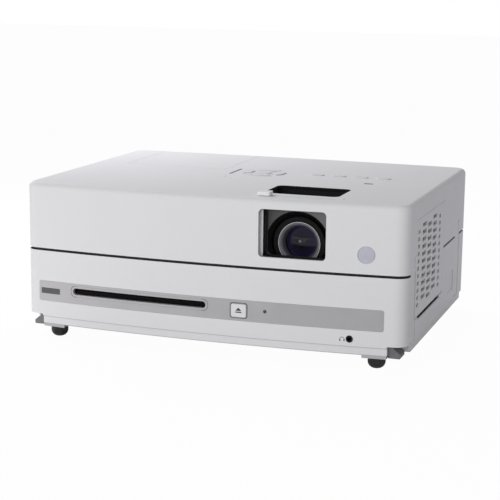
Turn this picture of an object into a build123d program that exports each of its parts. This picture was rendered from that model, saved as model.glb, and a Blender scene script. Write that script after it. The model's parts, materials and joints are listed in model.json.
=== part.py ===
from build123d import *
import math
import os

# A home projector with a slot-loading disc player in its base. Millimetres.
# +X is to the right seen from the front, +Y to the back, +Z up.
# The origin is on the table, under the middle of the case. The bowed front faces -Y.

# ---- Case ----
WIDTH = 340.0  # side to side
DEPTH = 257.0  # middle of the front to middle of the back
CASE_HEIGHT = 124.0  # underside of the plinth to the top
STANDING = 12.5  # the plinth's height above the table
FRONT_BOW = 9.2  # the middle of the front ahead of its ends
REAR_BOW = 4.0
CORNER_R = 12.0
TOP_EDGE_R = 4.5
WALL = 2.5
SEAM_DROP = 58.8  # the top to the underside of the seam between the two case halves
SEAM_GAP = 2.1
SEAM_INSET = 1.6  # how deep the dark seam lies
SEAM_TONGUE = 2.4  # the tongue's width behind the seam
PLINTH_HEIGHT = 7.0
PLINTH_INSET = 1.5
FIT = 0.3  # free space round a moving piece
SEAT = 0.1  # free space round a piece that is pressed home
POST_R = 3.5  # posts and bosses that carry the inner pieces

# ---- Front strip, disc slot, eject key, disc light and jack ----
STRIP_LEFT = 13.0  # from the case's left side
STRIP_RIGHT = 18.7  # from the case's right side
STRIP_RISE = 20.7  # from the plinth's underside
STRIP_HEIGHT = 17.8
STRIP_THICK = 0.8
STRIP_R = 2.0
SLOT_LEFT = 46.7  # the slot's left end from the case's left side
SLOT_RISE = 31.6
SLOT_LENGTH = 124.0
SLOT_HEIGHT = 5.8
SLOT_RIM = 1.9
RIM_THICK = 3.4
CURTAIN_LIP = 0.6  # how far the felt shows above and below the slot
CURTAIN_THICK = 1.0
CURTAIN_BORDER = 2.0
EJECT_FROM_RIGHT = 140.1
EJECT_RISE = 29.5
EJECT_W = 13.0
EJECT_H = 11.0
EJECT_R = 1.5
EJECT_PROUD = 0.6
DISC_LIGHT_FROM_RIGHT = 117.5
DISC_LIGHT_RISE = 30.3
DISC_LIGHT_R = 1.4
DISC_LIGHT_LENGTH = 6.0
JACK_FROM_RIGHT = 46.4
JACK_RISE = 13.0
JACK_BORE_R = 1.8
JACK_DEPTH = 14.0
JACK_COLLAR_R = 2.9
JACK_BODY_R = 3.4

# ---- Lens window, shutter and mute knob ----
LENS_FROM_RIGHT = 94.0
LENS_DROP = 37.9  # the lens axis below the top
WINDOW_LEFT = 30.0  # the lens window's left edge from the lens axis
WINDOW_RIGHT = 26.5
WINDOW_LOW = 10.1
WINDOW_HIGH = 29.7
WINDOW_R = 3.5
SHUTTER_THICK = 1.6
SHUTTER_LAP = 3.0  # the shutter laps the window all round when it is closed
SHUTTER_SHOWS = 2.3  # the parked shutter's edge seen in the window
SHUTTER_EDGE_DEPTH = 3.5  # the turned-back leading edge, front to back
SHUTTER_EDGE_THICK = 2.0
SHELF_THICK = 2.0
SHUTTER_ARM = 2.0
RAIL_THICK = 1.5
BEZEL_BACK = 7.0  # the bezel plate behind the shutter's front face
BEZEL_THICK = 2.0
BEZEL_MARGIN = 9.0  # the plate past the shutter's run on each side
BEZEL_RIB = 3.0  # the case's ribs that hold the plate's ends
SHELF_MARGIN = 4.0
BEZEL_HOLE_R = 27.3
FUNNEL_LENGTH = 3.0
FUNNEL_R = 24.0
KNOB_W = 11.0
KNOB_DEPTH = 10.0
KNOB_HEIGHT = 3.0
KNOB_R = 1.5
KNOB_BACK = 20.5  # the knob's middle behind the middle of the front
KNOB_SETBACK = 31.0  # the parked knob's middle left of the lens axis
STEM_W = 4.8
STEM_D = 2.4

# ---- Lens ----
LENS_FRONT = 17.5  # the lens's front rim behind the middle of the front
LENS_LENGTH = 70.0
BARREL_R = 22.0
BARREL_BORE_R = 18.0
GLASS_R = 14.0
GLASS_CROWN = 3.0
GLASS_EDGE = 3.0
RETAINER_LENGTH = 6.0
RETAINER_RIM = 1.2
RETAINER_PROUD = 0.4
RETAINER_LIP = 0.8
GLASS_SETBACK = 0.45  # the front glass's rim behind the retainer's lip
GRIP_R = 28.5
GRIP_RIB = 1.0
GRIP_RIBS = 24
FOCUS_START = 15.0  # behind the lens's front rim
FOCUS_WIDTH = 18.0
RING_GAP = 2.5
ZOOM_WIDTH = 20.0
FLANGE_R = 27.0
FLANGE_THICK = 3.0
RING_WINDOW_W = 65.3
RING_WINDOW_D = 45.5
RING_WINDOW_FRONT = 32.5  # behind the middle of the front
RING_WINDOW_SHIFT = 4.6  # its middle left of the lens axis
RING_WINDOW_R = 6.0

# ---- Receivers ----
EYE_R = 7.0
EYE_FROM_RIGHT = 34.4
EYE_DROP = 40.9
EYE_DOME = 1.0
EYE_LENGTH = 6.0
REAR_EYE_FROM_RIGHT = 40.0

# ---- Keys and lights on the top ----
PAD_FROM_RIGHT = 167.0
PAD_BACK = 142.5  # the pad's middle behind the middle of the front
PAD_R = 20.0
PAD_INNER_R = 11.0
ENTER_R = 7.8
PAD_SPLIT = 5.0
KEY_W = 13.0
KEY_D = 7.0
KEY_PITCH = 20.6
KEY_FIRST_FROM_RIGHT = 118.2
KEY_BACK = 148.5
KEY_PROUD = 0.9
KEY_TRAVEL = 0.7
KEY_LIP = 1.2
KEY_LIP_THICK = 1.0
KEY_STEM_R = 1.6
SWITCH_SIZE = 5.0
SWITCH_HEIGHT = 3.0
SWITCH_PLAY = 0.1
KEY_BOARD_DROP = 7.5  # the key board's top below the ceiling
BOARD_THICK = 1.6
KEY_BOARD_MARGIN = 9.0
POWER_LIGHT_FROM_RIGHT = 61.4
POWER_LIGHT_BACK = 114.5
POWER_LIGHT_W = 8.0
POWER_LIGHT_D = 3.2
LIGHT_PROUD = 0.2
STATUS_FROM_RIGHT = 194.0
STATUS_BACK = 143.0
STATUS_W = 2.4
STATUS_D = 34.0

# ---- Lamp door in the top ----
LAMP_DOOR_LEFT = 33.0  # from the case's left side
LAMP_DOOR_RIGHT = 14.0  # its right edge left of the status light's middle
LAMP_DOOR_LENGTH = 104.5  # its front edge ahead of the middle of the back
LEDGE_OUT = 2.0  # how far the ledge frame reaches out past the door
LAMP_DOOR_LIP = 12.0  # how far it wraps down the back
LAMP_DOOR_THICK = 1.8
DOOR_GAP = 0.45
LEDGE = 4.0  # how far it reaches in under the door
LEDGE_THICK = 1.8

# ---- Filter cover, louvres and exhaust grille ----
COVER_FRONT = 36.5  # behind the middle of the front
COVER_LENGTH = 112.0
COVER_RISE = 25.5  # above the plinth's underside
COVER_DROP = 15.5  # its upper edge below the top
COVER_THICK = 2.4
COVER_SLIT = 2.4  # the finger gap under the cover
COVER_SLIT_END = 12.0
COVER_SLIT_DEPTH = 8.0
COVER_BEVEL = 1.2
LOUVRE_W = 14.5
LOUVRE_H = 3.4
LOUVRE_PITCH_Y = 21.0
LOUVRE_PITCH_Z = 6.15
LOUVRE_ROWS = 11
LOUVRE_COLUMNS = 5
LOUVRE_START = 8.0  # the first column behind the cover's front edge
PIN_R = 0.9
PIN_REACH = 3.0
PIN_PLAY = 0.08
WELL_DEPTH = 9.0
WELL_BORDER = 5.0
SEATING_LEDGE = 6.0
FILTER_THICK = 6.0
GRILLE_FROM_BACK = 59.0  # the exhaust grille's rear end ahead of the middle of the back
GRILLE_LENGTH = 92.0
GRILLE_RISE = 32.0
GRILLE_DROP = 16.0
GRILLE_COLUMNS = 4
GRILLE_ROWS = 9
GRILLE_THICK = 2.4
CHANNEL_W = 19.0
CHANNEL_DEPTH = 0.6
NUB_PROUD = 0.5  # the small upright nubs over the channels
NUB_W = 8.0
NUB_H = 10.0
NUB_ABOVE_SEAM = 2.0
FRONT_CHANNEL = 20.5  # the front channel's start behind the middle of the front
REAR_CHANNEL = 33.5  # the rear channel's end ahead of the middle of the back
RECESS_BACK = 174.0
RECESS_W = 25.0
RECESS_RISE = 18.0
RECESS_H = 19.0
RECESS_DEPTH = 0.8

# ---- Feet and foot levers ----
FOOT_FROM_SIDE = 26.5
FOOT_BACK = 19.0
FOOT_R = 7.4
FOOT_DOME = 5.5
SHAFT_R = 5.0
SLEEVE_WALL = 1.8
FOOT_TRAVEL = 18.0
SHAFT_HELD = 16.0  # what stays in its sleeve of a foot that is right out
FOOT_PAD_W = 20.0
FOOT_PAD_D = 24.0
FOOT_PAD_DROP = 2.4
NOTCH_W = 16.0
NOTCH_D = 22.0
NOTCH_H = 8.5
NOTCH_SWEEP = 14.0
LEVER_REACH = 10.5  # from the notch's inner wall outwards
LEVER_DROP = 2.2  # its flat underside, below the case
LEVER_TOP_W = 3.5
LEVER_FRONT = 13.0  # behind the middle of the front
LEVER_D = 15.0
LEVER_END_H = 3.4
LEVER_CORNER = 0.6
LEVER_ARM_W = 6.0
LEVER_ARM_H = 2.6
LEVER_TRAVEL = 1.5
REAR_FOOT_R = 8.0
REAR_FOOT_FROM_SIDE = 30.0
REAR_FOOT_FROM_BACK = 26.0
REAR_FOOT_SOCKET = 1.2

# ---- Disc drive ----
DRIVE_SIDE = 1.8  # sheet thickness of the drive's housing
DRIVE_MARGIN = 5.0  # the drive past each end of the slot
DRIVE_FRONT = 10.0  # behind the middle of the front
DRIVE_DEPTH = 152.0
DRIVE_BELOW = 14.0  # the disc's plane above the drive's underside
DRIVE_ABOVE = 12.0
SPINDLE_BACK = 84.0  # behind the middle of the front
ROLLER_BACK = 19.0
ROLLER_R = 3.2
ROLLER_DROP = 1.6  # the roller's top below the disc's plane
ROLLER_TAPER = 0.6
JOURNAL_R = 1.2
JOURNAL_PLAY = 0.08
TURNTABLE_R = 15.0
TURNTABLE_DROP = 2.2
TURNTABLE_THICK = 1.6
HUB_R = 7.3
HUB_HEIGHT = 1.4
SPINDLE_R = 1.0
MOTOR_R = 11.5
MOTOR_HEIGHT = 3.6
TRAVERSE_W = 78.0
TRAVERSE_THICK = 1.4
TRAVERSE_LIFT = 1.6
DAMPER_R = 2.2
SLED_L = 18.0
SLED_START = 24.0  # the laser's nearest place to the spindle
SLED_RUN = 34.0
ROD_R = 1.2
ROD_SPREAD = 44.0
ROD_PLAY = 0.08
SCREW_R = 1.3
SCREW_MOTOR_R = 3.6
SCREW_MOTOR_L = 9.0
CLAMPER_R = 14.0
CLAMPER_NECK_R = 9.0
CLAMPER_DROP = 4.5  # the clamp's neck below the top plate
SCREW_PITCH = 2.0
LASER_LENS_R = 3.5

# ---- Projector inside ----
DECK_RISE = 57.5  # the middle deck's underside above the plinth's underside
DECK_THICK = 1.6
DECK_LEFT = 30.0  # the deck's edges in from the case's sides, front and back
DECK_RIGHT = 42.0
DECK_FRONT = 62.5
DECK_BACK = 28.5
ENGINE_W = 108.0
ENGINE_D = 98.0
ENGINE_RISE = 6.0
ENGINE_STEP_W = 28.0  # the corner left free for the lamp
ENGINE_STEP_D = 34.0
ENGINE_POST_INSET = 8.0
ENGINE_LEFT = 56.0  # from the lens axis to the engine's left side
ENGINE_DROP = 7.3  # its top below the key board
LAMP_MARGIN = 7.5  # the lamp unit in from the sides of its door
LAMP_D = 72.0
LAMP_DROP = 16.9  # its top below the case's top
REFLECTOR_R = 20.0
REFLECTOR_DEPTH = 22.0
LUG_W = 30.0
LUG_D = 4.0
LUG_H = 5.0
FAN_LAP = 2.0  # a fan frame past the height of its grille
FAN_THICK = 20.0
FAN_WALL = 3.0
FAN_HUB_R = 15.0
FAN_TIP_GAP = 1.0
BLADE_TWIST = 38.0
BLADE_CHORD = 17.0
BLADE_THICK = 1.4
FAN_BLADES = 7
FAN_SHAFT_R = 2.0
STRUT_W = 5.0
STRUT_THICK = 2.5
POWER_LEFT = 17.3  # the power board's left edge from the drive
POWER_RIGHT = 55.0  # its other edges in from the case's
POWER_FRONT = 39.5
POWER_BACK = 47.5
POWER_BOARD_RISE = 7.5
MAIN_BOARD_RISE = 5.0  # above the deck
CHIPS = ((0.25, 27.0), (0.55, 23.0), (0.8, 17.0))  # their places along the board, and sizes
CHIP_THICK = 3.0
TRANSFORMER = (40.0, 34.0, 28.0)
HEAT_SINK = (5.0, 70.0, 24.0)
CAPACITOR_R = 10.0
CAPACITOR_H = 26.0
CAPACITOR_PITCH = 26.0

# ---- Back: ports, power inlet and speakers ----
PANEL_FROM_SIDE = 75.0
PANEL_RISE = 11.5
PANEL_DROP = 11.7  # its top below the seam
PANEL_INSET = 6.0  # the panel behind the back's farthest point
PANEL_THICK = 1.6
PANEL_LEDGE = 3.0
SOCKET_DEPTH = 12.0
SOCKET_PROUD = 2.0
SOCKET_WALL = 0.8
TONGUE_SETBACK = 6.0  # a socket's tongue or pins behind its mouth
TONGUE_W = 0.7  # shares of the socket's width and height
TONGUE_H = 0.22
SPEAKER_R = 18.0
SPEAKER_DEPTH = 16.0
MAGNET_R = 10.0
ROW_LOW = 8.5  # the two rows of sockets below and above the panel's middle
ROW_HIGH = 9.0
VIDEO_SIZE = (31.0, 12.0)
WIDE_SIZE = (15.4, 6.0)
FLAT_SIZE = (13.4, 6.4)
FLAT_PITCH = 24.0
RCA_R = 4.2
RCA_BORE_R = 1.9
RCA_BORE_DEPTH = 8.0
RCA_BLOCK = 10.0
RCA_PITCH = 15.0
RCA_COLUMNS = 4
INLET_W = 27.0
INLET_H = 20.0
INLET_R = 3.0
INLET_WALL = 2.0
INLET_PINS = ((-7.0, -2.0), (0.0, 2.0), (7.0, -2.0))  # from the inlet's middle
PIN_W = 2.0
PIN_H = 4.0
SPEAKER_FROM_SIDE = 44.0
SPEAKER_RISE = 33.0
SPEAKER_HOLE_R = 1.5
SPEAKER_HOLE_PITCH = 5.4
MOUNT_X = 80.0  # ceiling-bracket holes: half their spacing
MOUNT_Y = 50.0
MOUNT_HOLE_R = 2.0
MOUNT_HOLE_DEPTH = 6.0
SCREW_SHANK_R = 1.5
SCREW_HEAD_R = 3.0
SCREW_HEAD = 2.2

# ---- Worked out ----
LEFT, RIGHT = -WIDTH / 2, WIDTH / 2
FRONT, REAR = -DEPTH / 2, DEPTH / 2
BASE = STANDING
TOP = STANDING + CASE_HEIGHT
PLINTH_TOP = BASE + PLINTH_HEIGHT
SEAM_LOW = TOP - SEAM_DROP
SEAM_HIGH = SEAM_LOW + SEAM_GAP
FLOOR = BASE + WALL
CEILING = TOP - WALL
LENS_X = RIGHT - LENS_FROM_RIGHT
LENS_Z = TOP - LENS_DROP
SLOT_X = LEFT + SLOT_LEFT + SLOT_LENGTH / 2
SLOT_Z = BASE + SLOT_RISE
STRIP_X = (LEFT + STRIP_LEFT, RIGHT - STRIP_RIGHT)
STRIP_Z = (BASE + STRIP_RISE, BASE + STRIP_RISE + STRIP_HEIGHT)
WINDOW_X = (LENS_X - WINDOW_LEFT, LENS_X + WINDOW_RIGHT)
WINDOW_Z = (LENS_Z - WINDOW_LOW, LENS_Z + WINDOW_HIGH)
COVER_Y = (FRONT + COVER_FRONT, FRONT + COVER_FRONT + COVER_LENGTH)
COVER_Z = (BASE + COVER_RISE, TOP - COVER_DROP)
GRILLE_Y = (REAR - GRILLE_FROM_BACK - GRILLE_LENGTH, REAR - GRILLE_FROM_BACK)
GRILLE_Z = (BASE + GRILLE_RISE, TOP - GRILLE_DROP)
DECK_Z = BASE + DECK_RISE


# ---- Plain helpers ----
def up(profile, x, y, z0, z1):
    """A profile drawn from above at (x, y), raised from z0 to z1."""
    return Pos(x, y, z0) * extrude(profile, z1 - z0)


def back(profile, x, z, y0, y1):
    """A profile drawn from the front at (x, z), taken from y0 back to y1."""
    plane = Plane(origin=(x, y1, z), x_dir=(1, 0, 0), z_dir=(0, -1, 0))
    return plane.location * extrude(profile, y1 - y0)


def across(profile, y, z, x0, x1):
    """A profile drawn from the right at (y, z), taken from x0 to x1."""
    plane = Plane(origin=(x0, y, z), x_dir=(0, 1, 0), z_dir=(1, 0, 0))
    return plane.location * extrude(profile, x1 - x0)


def slab(x, y, z):
    """A block between two values on each axis."""
    size = [high - low for low, high in (x, y, z)]
    return Pos(sum(x) / 2, sum(y) / 2, sum(z) / 2) * Box(*size)


def around(middle, size):
    return (middle - size / 2, middle + size / 2)


def grown(span, by):
    return (span[0] - by, span[1] + by)


def both_sides(shape):
    return shape + mirror(shape, Plane.YZ)


def turned(x, z, y_profile):
    """A profile of (radius, y) points turned round the front-to-back axis at (x, z)."""
    outline_points = [(radius, y) for radius, y in y_profile]
    face = make_face(Polyline(*outline_points, close=True))
    return Pos(x, 0, z) * revolve(face, Axis.Y)


def domed_plug(x, z, radius, flat_y, rim_y, crown):
    """A round plug on a front-to-back axis: flat at one end, and crowned past its rim."""
    dome_r = (radius**2 + crown**2) / (2 * abs(crown))
    half_way = abs(crown) - dome_r + math.sqrt(dome_r**2 - radius**2 / 4)
    half_y = rim_y + math.copysign(half_way, crown)
    edges = [
        Line((0, flat_y), (radius, flat_y)),
        Line((radius, flat_y), (radius, rim_y)),
        ThreePointArc((radius, rim_y), (radius / 2, half_y), (0, rim_y + crown)),
        Line((0, rim_y + crown), (0, flat_y)),
    ]
    return Pos(x, 0, z) * revolve(make_face(edges), Axis.Y)


def bow_at(x, width_bow, inset=0.0):
    """How far an end-to-end arc of this bow falls back at x, drawn in by inset."""
    radius = (WIDTH**2 / 4 + width_bow**2) / (2 * width_bow)
    return radius - math.sqrt((radius - inset) ** 2 - x**2)


def front_at(x, inset=0.0):
    return FRONT + bow_at(x, FRONT_BOW, inset)


def rear_at(x, inset=0.0):
    return REAR - bow_at(x, REAR_BOW, inset)


# ---- Case ----
def outline(inset=0.0):
    """The case from above, drawn in by inset: bowed front and back and rounded corners."""
    front_end, rear_end = FRONT + FRONT_BOW, REAR - REAR_BOW
    edges = [
        ThreePointArc((LEFT, front_end), (0, FRONT), (RIGHT, front_end)),
        Line((RIGHT, front_end), (RIGHT, rear_end)),
        ThreePointArc((RIGHT, rear_end), (0, REAR), (LEFT, rear_end)),
        Line((LEFT, rear_end), (LEFT, front_end)),
    ]
    face = make_face(edges)
    face = fillet(face.vertices(), CORNER_R)
    return offset(face, -inset) if inset else face


def case_prism(inset, z0, z1):
    return up(outline(inset), 0, 0, z0, z1)


def skin(depth, z0, z1):
    """The case's outer layer, down to a depth."""
    return case_prism(0, z0, z1) - case_prism(depth, z0, z1)


def whole_case():
    """The outside of the whole case as one solid, with its top edge rounded."""
    body = case_prism(0, PLINTH_TOP, TOP)
    body = fillet(body.faces().sort_by(Axis.Z)[-1].edges(), TOP_EDGE_R)
    return body + case_prism(PLINTH_INSET, BASE, PLINTH_TOP)


def strip_outline(gap=0.0):
    width = STRIP_X[1] - STRIP_X[0] + 2 * gap
    height = STRIP_HEIGHT + 2 * gap
    return back(
        RectangleRounded(width, height, STRIP_R), sum(STRIP_X) / 2, sum(STRIP_Z) / 2, FRONT - 1, FRONT + 15
    )


def slot_hole(grow, y0, y1):
    """The disc slot's rounded opening, grown all round."""
    height = SLOT_HEIGHT + 2 * grow
    profile = RectangleRounded(SLOT_LENGTH + 2 * grow, height, height / 2 - 0.01)
    return back(profile, SLOT_X, SLOT_Z, y0, y1)


EJECT_X = RIGHT - EJECT_FROM_RIGHT
EJECT_Z = BASE + EJECT_RISE
DISC_LIGHT_X = RIGHT - DISC_LIGHT_FROM_RIGHT
DISC_LIGHT_Z = BASE + DISC_LIGHT_RISE
JACK_X = RIGHT - JACK_FROM_RIGHT
JACK_Z = BASE + JACK_RISE


def eject_hole(gap):
    return back(
        RectangleRounded(EJECT_W + 2 * gap, EJECT_H + 2 * gap, EJECT_R), EJECT_X, EJECT_Z, FRONT - 2, FRONT + 15
    )


def disc_light_hole():
    return back(Circle(DISC_LIGHT_R + SEAT), DISC_LIGHT_X, DISC_LIGHT_Z, FRONT - 2, FRONT + 15)


FOOT_X = RIGHT - FOOT_FROM_SIDE
FOOT_Y = FRONT + FOOT_BACK
FOOT_TOP = BASE - FOOT_PAD_DROP - FIT
SHAFT_TOP = FOOT_TOP + FOOT_TRAVEL + SHAFT_HELD


def notch():
    """The cut under a front corner where the foot lever sits, with a swept rear end."""
    y0 = FRONT - 1
    y1 = FRONT + FRONT_BOW + NOTCH_D
    z0, z1 = BASE - 1, BASE + NOTCH_H
    edges = [
        Line((y0, z0), (y1, z0)),
        ThreePointArc((y1, z0), (y1 - NOTCH_SWEEP * 0.62, z1 - NOTCH_H * 0.22), (y1 - NOTCH_SWEEP, z1)),
        Line((y1 - NOTCH_SWEEP, z1), (y0, z1)),
        Line((y0, z1), (y0, z0)),
    ]
    swept = across(make_face(edges), 0, 0, RIGHT - NOTCH_W, RIGHT + 1)
    return swept + slab((RIGHT - NOTCH_W, RIGHT - WALL), (y0, y1 - 1), (z0, z1))


def channels():
    """The two shallow upright channels down each side of the lower case."""
    z = (BASE + NOTCH_H, SEAM_HIGH + 1)
    front_y = FRONT + FRONT_CHANNEL
    rear_y = REAR - REAR_CHANNEL
    front_one = slab((RIGHT - CHANNEL_DEPTH, RIGHT + 1), (front_y, front_y + CHANNEL_W), z)
    rear_one = slab((RIGHT - CHANNEL_DEPTH, RIGHT + 1), (rear_y - CHANNEL_W, rear_y), z)
    return both_sides(front_one + rear_one)


def channel_tabs():
    """Where the lower case closes the seam across the channels."""
    front_y = FRONT + FRONT_CHANNEL
    rear_y = REAR - REAR_CHANNEL
    x = (RIGHT - WALL, RIGHT - CHANNEL_DEPTH)
    front_one = slab(x, (front_y, front_y + CHANNEL_W), (SEAM_LOW, SEAM_HIGH))
    rear_one = slab(x, (rear_y - CHANNEL_W, rear_y), (SEAM_LOW, SEAM_HIGH))
    return both_sides(front_one + rear_one)


def side_frame(side, y, z, depth):
    """A thick frame behind the wall that a side panel is let into; side is 1 or -1."""
    outer, inner = side * RIGHT, side * (RIGHT - depth)
    x = (min(outer, inner), max(outer, inner))
    return slab(x, grown(y, WELL_BORDER), grown(z, WELL_BORDER))


def side_cut(side, y, z, depth):
    outer, inner = side * (RIGHT + 5), side * (RIGHT - depth)
    return slab((min(outer, inner), max(outer, inner)), y, z)


def filter_well(shell):
    """The frame, pocket and air opening of the filter cover, in either case half."""
    z_range = (-5.0, SEAM_LOW) if shell == "lower" else (SEAM_HIGH, CEILING + 0.5)
    limit = slab((0, RIGHT - 0.5), (FRONT, REAR), z_range)
    return side_frame(1, COVER_Y, COVER_Z, WELL_DEPTH) & limit


COVER_PIN_X = RIGHT - COVER_THICK / 2
COVER_PIN_Z = COVER_Z[1] - COVER_THICK / 2
FILTER_Y = grown(COVER_Y, -SEATING_LEDGE)
FILTER_Z = grown(COVER_Z, -SEATING_LEDGE)
GRILLE_OPEN_Y = grown(GRILLE_Y, -SEATING_LEDGE)
GRILLE_OPEN_Z = grown(GRILLE_Z, -SEATING_LEDGE)


def filter_cuts():
    pocket = side_cut(1, grown(COVER_Y, FIT), grown(COVER_Z, FIT), COVER_THICK + FIT)
    opening = side_cut(1, FILTER_Y, FILTER_Z, WELL_DEPTH + 5)
    slit = slab(
        (RIGHT - COVER_SLIT_DEPTH, RIGHT + 1),
        (COVER_Y[0] + COVER_SLIT_END, COVER_Y[1] - COVER_SLIT_END),
        (COVER_Z[0] - COVER_SLIT, COVER_Z[0] + 1),
    )
    y = grown(COVER_Y, PIN_REACH + FIT)
    pins = Pos(COVER_PIN_X, sum(y) / 2, COVER_PIN_Z) * Rot(90, 0, 0) * Cylinder(PIN_R + PIN_PLAY, y[1] - y[0])
    return pocket + opening + slit + pins


def grille_cuts():
    pocket = side_cut(-1, grown(GRILLE_Y, SEAT), grown(GRILLE_Z, SEAT), GRILLE_THICK)
    opening = side_cut(-1, GRILLE_OPEN_Y, GRILLE_OPEN_Z, WELL_DEPTH + 5)
    return pocket + opening


PANEL_Y = REAR - PANEL_INSET  # the panel's outer face
PANEL_X = (LEFT + PANEL_FROM_SIDE, RIGHT - PANEL_FROM_SIDE)
PANEL_Z = (BASE + PANEL_RISE, SEAM_LOW - PANEL_DROP)


def speaker_holes(x):
    """Round grille holes in rings over a speaker."""
    cuts = Part()
    z = BASE + SPEAKER_RISE
    for ring in range(1, 4):
        for step in range(6 * ring):
            angle = math.tau * step / (6 * ring)
            reach = ring * SPEAKER_HOLE_PITCH
            hole = back(
                RegularPolygon(SPEAKER_HOLE_R, 8),
                x + reach * math.cos(angle),
                z + reach * math.sin(angle),
                REAR - REAR_BOW - 6,
                REAR + 1,
            )
            cuts += hole
    return cuts


SPEAKER_X = RIGHT - SPEAKER_FROM_SIDE
SPEAKER_Z = BASE + SPEAKER_RISE
SPEAKER_FACE = rear_at(SPEAKER_X, WALL) - 1.0
DECK_X = (LEFT + DECK_LEFT, RIGHT - DECK_RIGHT)
DECK_Y = (FRONT + DECK_FRONT, REAR - DECK_BACK)
DRIVE_X = grown(around(SLOT_X, SLOT_LENGTH), DRIVE_MARGIN)
DRIVE_Y = (FRONT + DRIVE_FRONT, FRONT + DRIVE_FRONT + DRIVE_DEPTH)
DRIVE_Z = (SLOT_Z - DRIVE_BELOW, SLOT_Z + DRIVE_ABOVE)
POWER_X = (DRIVE_X[1] + POWER_LEFT, RIGHT - POWER_RIGHT)
POWER_Y = (FRONT + POWER_FRONT, REAR - POWER_BACK)
POWER_Z = BASE + POWER_BOARD_RISE
SCREW_BOSS_R = SCREW_HEAD_R + WALL - 1


def corners(x, y, inset):
    """The four corners of a rectangle, drawn in by inset."""
    return [(px, py) for px in grown(x, -inset) for py in grown(y, -inset)]


LEG_PLACES = [
    (x, y)
    for x in (DECK_X[0] + POST_R + 0.5, DRIVE_X[1] + POST_R + 5, DECK_X[1] - POST_R - 2)
    for y in grown(DECK_Y, -POST_R - 2)
]
FRONT_SCREW = (RIGHT - 24.0, FRONT + 40.5)
REAR_SCREW = (RIGHT - 17.0, REAR - 17.0)
CASE_SCREW_PLACES = [(side * x, y) for side in (-1, 1) for x, y in (FRONT_SCREW, REAR_SCREW)]
MOUNT_PLACES = [(x, y) for x in (-MOUNT_X, MOUNT_X) for y in (-MOUNT_Y, MOUNT_Y)]
REAR_FOOT_X = RIGHT - REAR_FOOT_FROM_SIDE
REAR_FOOT_Y = REAR - REAR_FOOT_FROM_BACK
SLEEVE_R = SHAFT_R + FIT + SLEEVE_WALL
ARM_Y = FRONT + LEVER_FRONT + LEVER_D / 2
ARM_Z = BASE + 3.0


def posts(places, radius, z0, z1):
    shapes = Part()
    for x, y in places:
        shapes += up(Circle(radius), x, y, z0, z1)
    return shapes


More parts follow.
